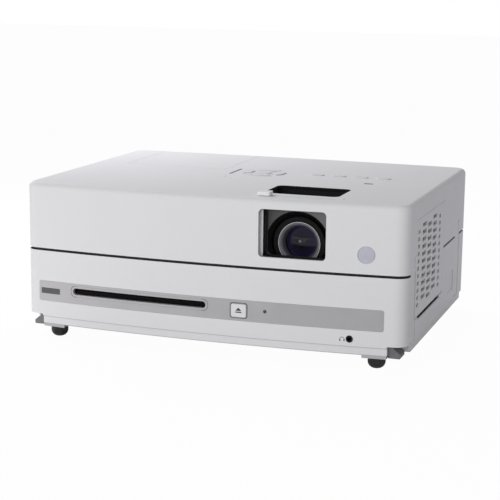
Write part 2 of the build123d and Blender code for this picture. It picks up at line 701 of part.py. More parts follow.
def lower_case():
    shell = whole_case() & slab((LEFT - 1, RIGHT + 1), (FRONT - 1, REAR + 1), (0, SEAM_LOW))
    step_z = PLINTH_TOP + WALL
    cavity = case_prism(WALL, step_z, SEAM_LOW + 1) + case_prism(WALL + PLINTH_INSET, FLOOR, step_z)
    notch_housing = slab(
        (RIGHT - NOTCH_W - WALL, RIGHT), (FRONT, FRONT + FRONT_BOW + NOTCH_D + WALL), (0, BASE + NOTCH_H + WALL)
    )
    cavity -= both_sides(notch_housing)
    shell -= cavity
    tongue = case_prism(SEAM_INSET, SEAM_LOW - 2, SEAM_HIGH) - case_prism(
        SEAM_INSET + SEAM_TONGUE, SEAM_LOW - 3, SEAM_HIGH + 1
    )
    shell += tongue + channel_tabs()
    foot_pads = both_sides(
        slab(around(FOOT_X, FOOT_PAD_W), around(FOOT_Y, FOOT_PAD_D), (BASE - FOOT_PAD_DROP, FLOOR))
        & case_prism(PLINTH_INSET, BASE - FOOT_PAD_DROP - 1, FLOOR)
    )
    shell += foot_pads
    shell += both_sides(up(Circle(SLEEVE_R), FOOT_X, FOOT_Y, FLOOR, SHAFT_TOP))
    shell += posts(LEG_PLACES, POST_R, FLOOR, DECK_Z)
    shell += posts(CASE_SCREW_PLACES, SCREW_BOSS_R, FLOOR, SEAM_LOW)
    shell += posts(corners(DRIVE_X, DRIVE_Y, 10.0), POST_R, FLOOR, DRIVE_Z[0])
    shell += posts(corners(POWER_X, POWER_Y, 5.0), POST_R, FLOOR, POWER_Z)
    shell += posts(MOUNT_PLACES, MOUNT_HOLE_R + WALL, FLOOR, BASE + MOUNT_HOLE_DEPTH + 1)
    limit = case_prism(0.5, FLOOR, SEAM_LOW)
    panel_frame = slab(
        grown(PANEL_X, WALL), (PANEL_Y - PANEL_THICK - 2, REAR), grown(PANEL_Z, WALL)
    )
    speaker_seats = both_sides(
        back(Circle(SPEAKER_R) - Circle(SPEAKER_R - 2), SPEAKER_X, SPEAKER_Z, SPEAKER_FACE, REAR - 1)
    )
    shell += (panel_frame + speaker_seats) & limit
    shell += filter_well("lower") + side_frame(-1, GRILLE_Y, GRILLE_Z, WELL_DEPTH) & slab(
        (LEFT + 0.5, RIGHT - 0.5), (FRONT, REAR), (0, SEAM_LOW)
    )
    shell -= skin(STRIP_THICK, STRIP_Z[0] - 1, STRIP_Z[1] + 1) & strip_outline(SEAT)
    shell -= slot_hole(SLOT_RIM + SEAT, FRONT - 1, DRIVE_Y[0])
    shell -= eject_hole(FIT) + disc_light_hole()
    shell -= back(Circle(JACK_COLLAR_R + SEAT), JACK_X, JACK_Z, FRONT - 1, FRONT + 15)
    shell -= both_sides(notch()) + channels()
    shell -= both_sides(up(Circle(SHAFT_R + FIT), FOOT_X, FOOT_Y, 0, SHAFT_TOP + 1))
    arm_slot_z = (ARM_Z - FIT, ARM_Z + LEVER_ARM_H + LEVER_TRAVEL + FIT)
    shell -= both_sides(
        slab(
            (RIGHT - NOTCH_W - WALL - 1, RIGHT - NOTCH_W + 1), around(ARM_Y, LEVER_ARM_W + 2 * FIT), arm_slot_z
        )
    )
    shell -= posts(CASE_SCREW_PLACES, SCREW_SHANK_R + SEAT, BASE - 1, SEAM_LOW + 1)
    shell -= posts(CASE_SCREW_PLACES, SCREW_HEAD_R + SEAT, BASE - 1, BASE + SCREW_HEAD + 0.6)
    shell -= posts(MOUNT_PLACES, MOUNT_HOLE_R, BASE - 1, BASE + MOUNT_HOLE_DEPTH)
    rear_places = [(-REAR_FOOT_X, REAR_FOOT_Y), (REAR_FOOT_X, REAR_FOOT_Y)]
    shell -= posts(rear_places, REAR_FOOT_R + SEAT, BASE - 1, BASE + REAR_FOOT_SOCKET)
    shell -= slab(PANEL_X, (PANEL_Y - PANEL_THICK - 3, PANEL_Y), PANEL_Z)
    shell -= slab(grown(PANEL_X, -PANEL_LEDGE), (PANEL_Y - 1, REAR + 1), grown(PANEL_Z, -PANEL_LEDGE))
    shell -= both_sides(speaker_holes(SPEAKER_X))
    shell -= filter_cuts() + grille_cuts()
    recess_y = (FRONT + RECESS_BACK, FRONT + RECESS_BACK + RECESS_W)
    recess_z = (BASE + RECESS_RISE, BASE + RECESS_RISE + RECESS_H)
    return shell - slab((RIGHT - RECESS_DEPTH, RIGHT + 1), recess_y, recess_z)


def trim_strip():
    strip = skin(STRIP_THICK, *grown(STRIP_Z, 1)) & strip_outline()
    strip -= slot_hole(SLOT_RIM + SEAT, FRONT - 1, FRONT + 15)
    return strip - eject_hole(FIT) - disc_light_hole()


def slot_bezel():
    z = grown((SLOT_Z, SLOT_Z), SLOT_HEIGHT)
    ring = skin(RIM_THICK, *z) & slot_hole(SLOT_RIM, FRONT - 1, FRONT + 15)
    return ring - slot_hole(0, FRONT - 1, FRONT + 15)


def dust_curtain():
    y0 = DRIVE_Y[0] - CURTAIN_THICK
    felt = slot_hole(CURTAIN_BORDER, y0, DRIVE_Y[0])
    slit = back(
        Rectangle(SLOT_LENGTH - 1, SLOT_HEIGHT - 2 * CURTAIN_LIP), SLOT_X, SLOT_Z, y0 - 1, DRIVE_Y[0] + 1
    )
    return felt - slit


def eject_button():
    face = front_at(EJECT_X) - EJECT_PROUD
    cap = back(RectangleRounded(EJECT_W, EJECT_H, EJECT_R), EJECT_X, EJECT_Z, face, FRONT + WALL + 2)
    lip = back(
        Rectangle(EJECT_W + 2 * KEY_LIP, EJECT_H + 2 * KEY_LIP),
        EJECT_X,
        EJECT_Z,
        front_at(EJECT_X + EJECT_W, WALL) + FIT,
        front_at(EJECT_X + EJECT_W, WALL) + FIT + KEY_LIP_THICK,
    )
    return cap + lip


def headphone_jack():
    face = front_at(JACK_X)
    collar = back(Circle(JACK_COLLAR_R), JACK_X, JACK_Z, face - 0.3, face + WALL + 1)
    body_y = (front_at(JACK_X + JACK_BODY_R, WALL) + SEAT, face + JACK_DEPTH)
    body = back(Circle(JACK_BODY_R), JACK_X, JACK_Z, *body_y)
    return collar + body - back(Circle(JACK_BORE_R), JACK_X, JACK_Z, face - 1, face + JACK_DEPTH - 1)


def foot(side):
    """A front foot: a domed rubber tread on a plain shaft."""
    dome_z = FOOT_DOME
    profile = [
        Line((0, 0), (FOOT_R * 0.35, 0)),
        ThreePointArc((FOOT_R * 0.35, 0), (FOOT_R * 0.85, dome_z * 0.42), (FOOT_R, dome_z)),
        Line((FOOT_R, dome_z), (FOOT_R, FOOT_TOP)),
        Line((FOOT_R, FOOT_TOP), (SHAFT_R, FOOT_TOP)),
        Line((SHAFT_R, FOOT_TOP), (SHAFT_R, SHAFT_TOP)),
        Line((SHAFT_R, SHAFT_TOP), (0, SHAFT_TOP)),
        Line((0, SHAFT_TOP), (0, 0)),
    ]
    face = Plane.XZ * make_face(profile)
    return Pos(side * FOOT_X, FOOT_Y, 0) * revolve(face, Axis.Z)


def foot_lever(side):
    """The grey lever in the notch beside a front foot, with its arm through the notch's wall."""
    x0 = RIGHT - NOTCH_W + FIT
    x1 = RIGHT - NOTCH_W + LEVER_REACH
    z0, z1 = BASE - LEVER_DROP, BASE + NOTCH_H - FIT - LEVER_TRAVEL
    points = [
        (x0, z0),
        (x1 - LEVER_CORNER, z0),
        (x1, z0 + LEVER_CORNER),
        (x1, z0 + LEVER_END_H),
        (x0 + LEVER_TOP_W, z1),
        (x0, z1),
    ]
    face = make_face(Polyline(*points, close=True))
    y0 = FRONT + LEVER_FRONT
    wedge = back(face, 0, 0, y0, y0 + LEVER_D)
    tip = FOOT_X + SLEEVE_R + FIT
    arm = slab((tip, x0 + 1), around(ARM_Y, LEVER_ARM_W), (ARM_Z, ARM_Z + LEVER_ARM_H))
    lever = wedge + arm
    return lever if side > 0 else mirror(lever, Plane.YZ)


def rear_feet():
    """Two plain rubber feet, a little narrower at the table."""
    foot_top = BASE + REAR_FOOT_SOCKET
    body = Pos(REAR_FOOT_X, REAR_FOOT_Y, foot_top / 2) * Cone(REAR_FOOT_R - 1, REAR_FOOT_R, foot_top)
    return both_sides(body)


def case_screws():
    shapes = Part()
    for x, y in CASE_SCREW_PLACES:
        head_z = BASE + 0.6
        shapes += up(Circle(SCREW_HEAD_R), x, y, head_z, head_z + SCREW_HEAD)
        shapes += up(Circle(SCREW_SHANK_R), x, y, head_z + SCREW_HEAD, SEAM_LOW + 12)
    return shapes


# ---- Upper case, lens window and shutter ----
EYE_X, EYE_Z = RIGHT - EYE_FROM_RIGHT, TOP - EYE_DROP
REAR_EYE_X = RIGHT - REAR_EYE_FROM_RIGHT
SHUTTER_Y = front_at(WINDOW_X[1] + SHUTTER_LAP, WALL) + FIT
SHUTTER_RUN = WINDOW_X[1] + SHUTTER_LAP - WINDOW_X[0] - SHUTTER_SHOWS
SHUTTER_X = (WINDOW_X[0] - SHUTTER_LAP - SHUTTER_RUN, WINDOW_X[0] + SHUTTER_SHOWS)
SHUTTER_Z = grown(WINDOW_Z, SHUTTER_LAP)
BEZEL_Y = SHUTTER_Y + BEZEL_BACK
BEZEL_X = (SHUTTER_X[0] - BEZEL_MARGIN, WINDOW_X[1] + SHUTTER_LAP + BEZEL_MARGIN)
BEZEL_Z = (SHUTTER_Z[0] - FIT - SHELF_THICK, SHUTTER_Z[1] - FIT)
KNOB_X = LENS_X - KNOB_SETBACK
KNOB_Y = FRONT + KNOB_BACK
LENS_Y = FRONT + LENS_FRONT
FOCUS_Y = (LENS_Y + FOCUS_START, LENS_Y + FOCUS_START + FOCUS_WIDTH)
ZOOM_Y = (FOCUS_Y[1] + RING_GAP, FOCUS_Y[1] + RING_GAP + ZOOM_WIDTH)
LENS_END = LENS_Y + LENS_LENGTH
RING_WINDOW_X = LENS_X - RING_WINDOW_SHIFT
RING_WINDOW_Y = FRONT + RING_WINDOW_FRONT + RING_WINDOW_D / 2
PAD_X, PAD_Y = RIGHT - PAD_FROM_RIGHT, FRONT + PAD_BACK
KEY_PLACES = [(RIGHT - KEY_FIRST_FROM_RIGHT + KEY_PITCH * step, FRONT + KEY_BACK) for step in range(4)]
KEY_LIP_Z = CEILING - FIT - KEY_LIP_THICK
KEY_BOARD_Z = CEILING - KEY_BOARD_DROP
KEY_BOARD_X = (PAD_X - PAD_R - KEY_BOARD_MARGIN, KEY_PLACES[-1][0] + KEY_W / 2 + KEY_BOARD_MARGIN)
KEY_BOARD_Y = around(PAD_Y, 2 * (PAD_R + KEY_BOARD_MARGIN))
SWITCH_TOP = KEY_BOARD_Z + SWITCH_HEIGHT
STATUS_X, STATUS_Y = RIGHT - STATUS_FROM_RIGHT, FRONT + STATUS_BACK
POWER_LIGHT_X, POWER_LIGHT_Y = RIGHT - POWER_LIGHT_FROM_RIGHT, FRONT + POWER_LIGHT_BACK
LAMP_DOOR_X = (LEFT + LAMP_DOOR_LEFT, STATUS_X - LAMP_DOOR_RIGHT)
LAMP_DOOR_Y = REAR - LAMP_DOOR_LENGTH
LAMP_DOOR_Z = TOP - LAMP_DOOR_LIP


def pad_sector(quarter, gap=0.0):
    """One quarter key of the round pad, from above; quarter counts from the back key."""
    start = (PAD_SPLIT / 2 - gap) * math.sqrt(2)
    reach = 2 * PAD_R
    wedge = make_face(Polyline((0, start), (reach, start + reach), (-reach, start + reach), close=True))
    face = (Circle(PAD_R + gap) - Circle(PAD_INNER_R - gap)) & wedge
    return Rot(0, 0, -90 * quarter) * fillet(face.vertices(), 1.2 + gap)


def key_profiles(gap=0.0):
    """Every key's name, outline from above and place."""
    keys = {}
    for quarter, name in enumerate(("nav_key_back", "nav_key_right", "nav_key_front", "nav_key_left")):
        keys[name] = (pad_sector(quarter, gap), PAD_X, PAD_Y)
    keys["enter_key"] = (Circle(ENTER_R + gap), PAD_X, PAD_Y)
    for name, (x, y) in zip(("source_key", "menu_key", "exit_key", "power_key"), KEY_PLACES):
        keys[name] = (SlotOverall(KEY_W + 2 * gap, KEY_D + 2 * gap), x, y)
    return keys


def key_holes():
    cuts = Part()
    for profile, x, y in key_profiles(FIT).values():
        cuts += up(profile, x, y, CEILING - 1, TOP + 1)
    return cuts


def keys():
    """Each key: its cap, the lip that holds it under the top, and its stem over a switch."""
    lips = key_profiles(KEY_LIP)
    shapes = {}
    for name, (profile, x, y) in key_profiles().items():
        cap = up(profile, x, y, KEY_LIP_Z, TOP + KEY_PROUD)
        lip = up(lips[name][0], x, y, KEY_LIP_Z, KEY_LIP_Z + KEY_LIP_THICK)
        stem_x, stem_y = key_switch(name, x, y)
        stem = up(Circle(KEY_STEM_R), stem_x, stem_y, SWITCH_TOP + KEY_TRAVEL + SWITCH_PLAY, KEY_LIP_Z + 0.5)
        shapes[name] = cap + lip + stem
    return shapes


def key_switch(name, x, y):
    """Where a key's switch is on the key board."""
    reach = (PAD_R + PAD_INNER_R) / 2
    steps = {"nav_key_back": (0, 1), "nav_key_right": (1, 0), "nav_key_front": (0, -1), "nav_key_left": (-1, 0)}
    step = steps.get(name, (0, 0))
    return x + step[0] * reach, y + step[1] * reach


def key_board():
    board = slab(KEY_BOARD_X, KEY_BOARD_Y, (KEY_BOARD_Z - BOARD_THICK, KEY_BOARD_Z))
    for name, (_, x, y) in key_profiles().items():
        switch_x, switch_y = key_switch(name, x, y)
        board += up(Rectangle(SWITCH_SIZE, SWITCH_SIZE), switch_x, switch_y, KEY_BOARD_Z, SWITCH_TOP)
    return board


def indicator_lights():
    """The three light windows: a slit and a bar in the top, and the disc light in the front."""
    status = up(SlotOverall(STATUS_D, STATUS_W, 90), STATUS_X, STATUS_Y, CEILING - 1, TOP)
    power_profile = SlotOverall(POWER_LIGHT_W, POWER_LIGHT_D)
    power = up(power_profile, POWER_LIGHT_X, POWER_LIGHT_Y, CEILING - 1, TOP + LIGHT_PROUD)
    face = front_at(DISC_LIGHT_X) - 0.3
    disc = back(Circle(DISC_LIGHT_R), DISC_LIGHT_X, DISC_LIGHT_Z, face, FRONT + DISC_LIGHT_LENGTH)
    return Part() + [status, power, disc]


def light_holes():
    status_profile = SlotOverall(STATUS_D + 2 * SEAT, STATUS_W + 2 * SEAT, 90)
    power_profile = SlotOverall(POWER_LIGHT_W + 2 * SEAT, POWER_LIGHT_D + 2 * SEAT)
    status = up(status_profile, STATUS_X, STATUS_Y, CEILING - 1, TOP + 1)
    return status + up(power_profile, POWER_LIGHT_X, POWER_LIGHT_Y, CEILING - 1, TOP + 1)


def lamp_door_space(gap, depth):
    """The lamp door's footprint, grown all round, down to a depth under the outer skin."""
    x = grown(LAMP_DOOR_X, gap)
    top_part = slab(x, (LAMP_DOOR_Y - gap, REAR + 1), (TOP - depth, TOP + 1))
    behind = slab(x, (REAR - REAR_BOW - depth - 3, REAR + 1), (LAMP_DOOR_Z - gap, TOP + 1))
    return top_part + (behind - case_prism(depth, LAMP_DOOR_Z - gap - 1, TOP + 2))


def lamp_door():
    return whole_case() & lamp_door_space(0, LAMP_DOOR_THICK)


def upper_case():
    shell = whole_case() & slab((LEFT - 1, RIGHT + 1), (FRONT - 1, REAR + 1), (SEAM_HIGH, TOP + 1))
    shell -= case_prism(WALL, SEAM_HIGH - 1, CEILING)
    shell += posts(CASE_SCREW_PLACES, SCREW_BOSS_R, SEAM_LOW, CEILING)
    shell += posts(corners(KEY_BOARD_X, KEY_BOARD_Y, 5.0), POST_R, KEY_BOARD_Z, CEILING)
    shell += filter_well("upper")
    duct = side_frame(-1, GRILLE_Y, GRILLE_Z, WELL_DEPTH)
    shell += duct & slab((LEFT + 0.5, 0), (FRONT, REAR), (SEAM_HIGH, TOP - 1))
    ledge_x = grown(LAMP_DOOR_X, LEDGE_OUT)
    ledge_y = (LAMP_DOOR_Y - LEDGE_OUT, REAR - REAR_BOW)
    ledge_z = (TOP - LAMP_DOOR_THICK - SEAT - LEDGE_THICK, CEILING)
    shell += slab(ledge_x, ledge_y, ledge_z) & case_prism(WALL - 0.5, ledge_z[0] - 1, TOP)
    for x in (BEZEL_X[0], BEZEL_X[1] - BEZEL_RIB):
        rib = slab((x, x + BEZEL_RIB), (front_at(x), BEZEL_Y), SHUTTER_Z)
        shell += rib & case_prism(0.5, *SHUTTER_Z)
    nub_z = (SEAM_HIGH + NUB_ABOVE_SEAM, SEAM_HIGH + NUB_ABOVE_SEAM + NUB_H)
    for nub_y in (FRONT + FRONT_CHANNEL + CHANNEL_W, REAR - REAR_CHANNEL):
        shell += both_sides(slab((RIGHT - 0.5, RIGHT + NUB_PROUD), (nub_y - NUB_W, nub_y), nub_z))
    shell -= lamp_door_space(DOOR_GAP, LAMP_DOOR_THICK + SEAT)
    bay_y = (LAMP_DOOR_Y + LEDGE, REAR - REAR_BOW - LEDGE - 2)
    shell -= slab(grown(LAMP_DOOR_X, -LEDGE), bay_y, (ledge_z[0] - 1, TOP))
    window = RectangleRounded(WINDOW_LEFT + WINDOW_RIGHT, WINDOW_LOW + WINDOW_HIGH, WINDOW_R)
    shell -= back(window, sum(WINDOW_X) / 2, sum(WINDOW_Z) / 2, FRONT - 1, FRONT + 10)
    shell -= back(Circle(EYE_R + SEAT), EYE_X, EYE_Z, FRONT - 1, FRONT + 20)
    shell -= back(Circle(EYE_R + SEAT), REAR_EYE_X, EYE_Z, REAR - 20, REAR + 1)
    ring_window = RectangleRounded(RING_WINDOW_W, RING_WINDOW_D, RING_WINDOW_R)
    shell -= up(ring_window, RING_WINDOW_X, RING_WINDOW_Y, CEILING - 1, TOP + 1)
    slot_x = (KNOB_X - STEM_W / 2 - FIT, KNOB_X + SHUTTER_RUN + STEM_W / 2 + FIT)
    shell -= slab(slot_x, around(KNOB_Y, STEM_D + 2 * FIT), (CEILING - 1, TOP + 1))
    shell -= key_holes() + light_holes()
    shell -= posts(CASE_SCREW_PLACES, SCREW_SHANK_R + SEAT, SEAM_LOW - 1, SEAM_LOW + 14)
    shell -= filter_cuts() + grille_cuts()
    return shell


def window_eye(x, face_y, outward):
    """A receiver's window: a short plug with a shallow dome; outward is -1 at the front."""
    return domed_plug(x, EYE_Z, EYE_R, face_y - outward * EYE_LENGTH, face_y, outward * EYE_DOME)


def ir_windows():
    front_eye = window_eye(EYE_X, front_at(EYE_X), -1)
    return front_eye + window_eye(REAR_EYE_X, rear_at(REAR_EYE_X), 1)


def shutter():
    """The sliding lens door: its turned-back leading edge, its arm and the knob on the top."""
    y = (SHUTTER_Y, SHUTTER_Y + SHUTTER_THICK)
    door = slab(SHUTTER_X, y, SHUTTER_Z)
    edge_x = (SHUTTER_X[1] - SHUTTER_EDGE_THICK, SHUTTER_X[1])
    door += slab(edge_x, (SHUTTER_Y, SHUTTER_Y + SHUTTER_EDGE_DEPTH), grown(WINDOW_Z, -0.3))
    arm_x = around(KNOB_X, KNOB_W - 2)
    door += slab(arm_x, (SHUTTER_Y, KNOB_Y + STEM_D), (SHUTTER_Z[1], SHUTTER_Z[1] + SHUTTER_ARM))
    door += up(Rectangle(STEM_W, STEM_D), KNOB_X, KNOB_Y, SHUTTER_Z[1] + 1, TOP + 1)
    knob = RectangleRounded(KNOB_W, KNOB_DEPTH, KNOB_R)
    return door + up(knob, KNOB_X, KNOB_Y, TOP + FIT, TOP + FIT + KNOB_HEIGHT)


def lens_bezel():
    """The dark plate behind the lens window, with the shutter's shelf and rails and a funnel."""
    plate_y = (BEZEL_Y, BEZEL_Y + BEZEL_THICK)
    plate = slab(BEZEL_X, plate_y, BEZEL_Z)
    inner_x = (SHUTTER_X[0] - SHELF_MARGIN, WINDOW_X[1] + SHUTTER_LAP + SHELF_MARGIN)
    shelf_top = SHUTTER_Z[0] - FIT
    plate += slab(inner_x, (SHUTTER_Y, BEZEL_Y), (BEZEL_Z[0], shelf_top))
    rail_y = (SHUTTER_Y + SHUTTER_THICK + FIT, SHUTTER_Y + SHUTTER_THICK + FIT + RAIL_THICK)
    plate += slab(inner_x, rail_y, (BEZEL_Z[0], WINDOW_Z[0] - FIT))
    plate += slab(inner_x, rail_y, (WINDOW_Z[1] + FIT, BEZEL_Z[1]))
    plate += slab(inner_x, (rail_y[0], BEZEL_Y), (BEZEL_Z[1] - RAIL_THICK, BEZEL_Z[1]))
    plate += slab((inner_x[1] - 2.0, inner_x[1]), (SHUTTER_Y, BEZEL_Y), BEZEL_Z)
    y0, y1 = BEZEL_Y, BEZEL_Y + BEZEL_THICK + FUNNEL_LENGTH
    wall = BEZEL_THICK / 2
    funnel = [
        (FUNNEL_R, y1),
        (FUNNEL_R + wall, y1),
        (BEZEL_HOLE_R + wall, y0 + wall),
        (BEZEL_HOLE_R + wall, y0),
        (BEZEL_HOLE_R, y0),
    ]
    plate -= back(Circle(BEZEL_HOLE_R), LENS_X, LENS_Z, SHUTTER_Y - 1, y1)
    inside = slab(BEZEL_X, (y0 - 1, y1 + 1), BEZEL_Z)
    return plate + (turned(LENS_X, LENS_Z, funnel) & inside)


# ---- Lens, its rings and the projector's inner pieces ----
ENGINE_X = (LENS_X - ENGINE_LEFT, LENS_X - ENGINE_LEFT + ENGINE_W)
ENGINE_Y = (LENS_END, LENS_END + ENGINE_D)
DECK_TOP = DECK_Z + DECK_THICK
ENGINE_Z = (DECK_TOP + ENGINE_RISE, KEY_BOARD_Z - BOARD_THICK - ENGINE_DROP)
FAN_SIZE = GRILLE_Z[1] - GRILLE_Z[0] + 2 * FAN_LAP
INTAKE = (1, sum(COVER_Y) / 2, sum(COVER_Z) / 2, FAN_SIZE)
EXHAUST = (-1, sum(GRILLE_Y) / 2, sum(GRILLE_Z) / 2, FAN_SIZE)


def lens_barrel():
    profile = [
        (BARREL_BORE_R, LENS_Y),
        (BARREL_R, LENS_Y),
        (BARREL_R, LENS_END - FLANGE_THICK),
        (FLANGE_R, LENS_END - FLANGE_THICK),
        (FLANGE_R, LENS_END),
        (GLASS_R, LENS_END),
        (GLASS_R, LENS_END - FLANGE_THICK),
        (BARREL_BORE_R, LENS_END - FLANGE_THICK),
    ]
    return turned(LENS_X, LENS_Z, profile)


def lens_retainer():
    """The bright ring round the front glass: a flat rim and a cone down to the glass."""
    outer = BARREL_BORE_R - SEAT
    y0 = LENS_Y - RETAINER_PROUD
    profile = [
        (outer - RETAINER_RIM, y0),
        (outer, y0),
        (outer, y0 + RETAINER_LENGTH + GLASS_EDGE),
        (GLASS_R + SEAT, y0 + RETAINER_LENGTH + GLASS_EDGE),
        (GLASS_R + SEAT, y0 + RETAINER_LENGTH),
        (GLASS_R - RETAINER_LIP, y0 + RETAINER_LENGTH),
        (GLASS_R - RETAINER_LIP, y0 + RETAINER_LENGTH - RETAINER_LIP),
    ]
    return turned(LENS_X, LENS_Z, profile)


def glass(y0, crown):
    """A lens with a crowned face towards the front and a flat back."""
    return domed_plug(LENS_X, LENS_Z, GLASS_R, y0 + GLASS_EDGE, y0, -crown)


def grip_ring(y):
    """A turning ring on the barrel with ribs for the fingers."""
    width = y[1] - y[0]
    middle = sum(y) / 2
    profile = Circle(GRIP_R)
    for rib in range(GRIP_RIBS):
        angle = 360 * rib / GRIP_RIBS
        profile += Rot(0, 0, angle) * Pos(GRIP_R, 0) * Rectangle(2 * GRIP_RIB, 3.0)
    profile -= Circle(BARREL_R + FIT)
    return back(profile, LENS_X, LENS_Z, middle - width / 2, middle + width / 2)


def optical_engine():
    body = slab(ENGINE_X, ENGINE_Y, ENGINE_Z)
    step_y = (ENGINE_Y[1] - ENGINE_STEP_D, ENGINE_Y[1] + 1)
    body -= slab((ENGINE_X[0] - 1, ENGINE_X[0] + ENGINE_STEP_W), step_y, grown(ENGINE_Z, 1))
    for x, y in corners(ENGINE_X, (ENGINE_Y[0], step_y[0]), ENGINE_POST_INSET):
        body += up(Circle(POST_R), x, y, DECK_TOP, ENGINE_Z[0] + 1)
    return body


def lamp_unit():
    """The lamp's housing with its reflector bore towards the middle and its lifting bail's lug."""
    x = grown(LAMP_DOOR_X, -LAMP_MARGIN)
    y = (DECK_Y[1] - 2 - LAMP_D, DECK_Y[1] - 2)
    top = TOP - LAMP_DROP
    body = slab(x, y, (DECK_TOP, top))
    reflector = Rot(0, 90, 0) * Cone(REFLECTOR_R * 0.4, REFLECTOR_R, 2 * REFLECTOR_DEPTH)
    body -= Pos(x[1], sum(y) / 2, (DECK_TOP + top) / 2) * reflector
    lug = slab(around(sum(x) / 2, LUG_W), around(sum(y) / 2, LUG_D), (top, top + LUG_H))
    return body + lug


def middle_deck():
    """The sheet that carries the projector above the disc player."""
    deck = slab(DECK_X, DECK_Y, (DECK_Z, DECK_TOP))
    lens_gap = around(LENS_X, 2 * GRIP_R + 8)
    deck -= slab(lens_gap, (DECK_Y[0] - 1, LENS_END + 1), (DECK_Z - 1, DECK_TOP + 1))
    for x, y in MAIN_BOARD_POSTS:
        deck += up(Circle(POST_R - 1), x, y, DECK_TOP - 0.5, MAIN_BOARD_Z)
    return deck


MAIN_BOARD_X = (DECK_X[0] + 3, ENGINE_X[0] - 12)
MAIN_BOARD_Y = (DECK_Y[0] + 2, DECK_Y[1] - LAMP_D - 6)
MAIN_BOARD_Z = DECK_TOP + MAIN_BOARD_RISE
MAIN_BOARD_POSTS = corners(MAIN_BOARD_X, MAIN_BOARD_Y, 4.0)


def main_board():
    board = slab(MAIN_BOARD_X, MAIN_BOARD_Y, (MAIN_BOARD_Z, MAIN_BOARD_Z + BOARD_THICK))
    middle_y = sum(MAIN_BOARD_Y) / 2
    top = MAIN_BOARD_Z + BOARD_THICK
    for step, size in CHIPS:
        x = MAIN_BOARD_X[0] + step * (MAIN_BOARD_X[1] - MAIN_BOARD_X[0])
        board += slab(around(x, size), around(middle_y, size), (top, top + CHIP_THICK))
    return board


def power_board():
    board = slab(POWER_X, POWER_Y, (POWER_Z, POWER_Z + BOARD_THICK))
    top = POWER_Z + BOARD_THICK
    wide, deep, high = TRANSFORMER
    board += slab(around(sum(POWER_X) / 2, wide), around(POWER_Y[1] - 55, deep), (top, top + high))
    wide, deep, high = HEAT_SINK
    board += slab(around(POWER_X[1] - 12, wide), around(POWER_Y[0] + 65, deep), (top, top + high))
    for step in range(3):
        y = POWER_Y[0] + 25 + CAPACITOR_PITCH * step
        board += up(RegularPolygon(CAPACITOR_R, 12), POWER_X[0] + 26, y, top, top + CAPACITOR_H)
    return board


def fan_frame(side, y, z, size):
    """A square fan frame against a side well, with a hub, four struts and its shaft."""
    inner = RIGHT - WELL_DEPTH - FAN_THICK
    bore_r = size / 2 - FAN_WALL
    frame = across(RectangleRounded(size, size, 4) - Circle(bore_r), y, z, inner, inner + FAN_THICK)
    hub_face = Circle(FAN_HUB_R)
    for angle in (45, 135):
        hub_face += Rot(0, 0, angle) * Rectangle(2 * bore_r + 2, STRUT_W)
    frame += across(hub_face, y, z, inner, inner + STRUT_THICK)
    frame += across(Circle(FAN_SHAFT_R), y, z, inner + 1, inner + FAN_THICK - 4)
    return frame if side > 0 else mirror(frame, Plane.YZ)


def fan_rotor(side, y, z, size):
    """The hub cup with its twisted blades, running on the frame's shaft."""
    inner = RIGHT - WELL_DEPTH - FAN_THICK
    x0, x1 = inner + STRUT_THICK + 0.5, inner + FAN_THICK - 1.0
    rotor = across(Circle(FAN_HUB_R), 0, 0, x0, x1)
    tip_r = size / 2 - FAN_WALL - FAN_TIP_GAP
    blade_span = tip_r - FAN_HUB_R + 2
    blade = Rot(0, 0, BLADE_TWIST) * Box(BLADE_CHORD, BLADE_THICK, blade_span)
    blade = Pos((x0 + x1) / 2, 0, FAN_HUB_R - 2 + blade_span / 2) * blade
    blade &= across(Circle(tip_r), 0, 0, x0, x1)
    for step in range(FAN_BLADES):
        rotor += Rot(360 * step / FAN_BLADES, 0, 0) * blade
    rotor -= across(Circle(FAN_SHAFT_R + JOURNAL_PLAY), 0, 0, x0 - 1, inner + FAN_THICK - 3.5)
    rotor = Pos(0, y, z) * rotor
    return rotor if side > 0 else mirror(rotor, Plane.YZ)


# ---- Filter cover, filter and exhaust grille ----
def louvre_cuts(y0, z0, columns, rows, half_ends):
    """Upright columns of slots; every second column stands half a pitch higher."""
    cuts = []
    for column in range(columns):
        narrow = half_ends and column in (0, columns - 1)
        width = LOUVRE_W / 2 if narrow else LOUVRE_W
        rise = LOUVRE_PITCH_Z / 2 if column % 2 else 0
        for row in range(rows):
            place = Pos(y0 + column * LOUVRE_PITCH_Y, z0 + rise + row * LOUVRE_PITCH_Z)
            cuts.append(place * Rectangle(width, LOUVRE_H))
    return Sketch() + cuts


def first_row(z, rows):
    """The lowest slot's middle, so that the staggered columns stand in the middle of z."""
    return sum(z) / 2 - (rows - 0.5) * LOUVRE_PITCH_Z / 2 + LOUVRE_H / 2


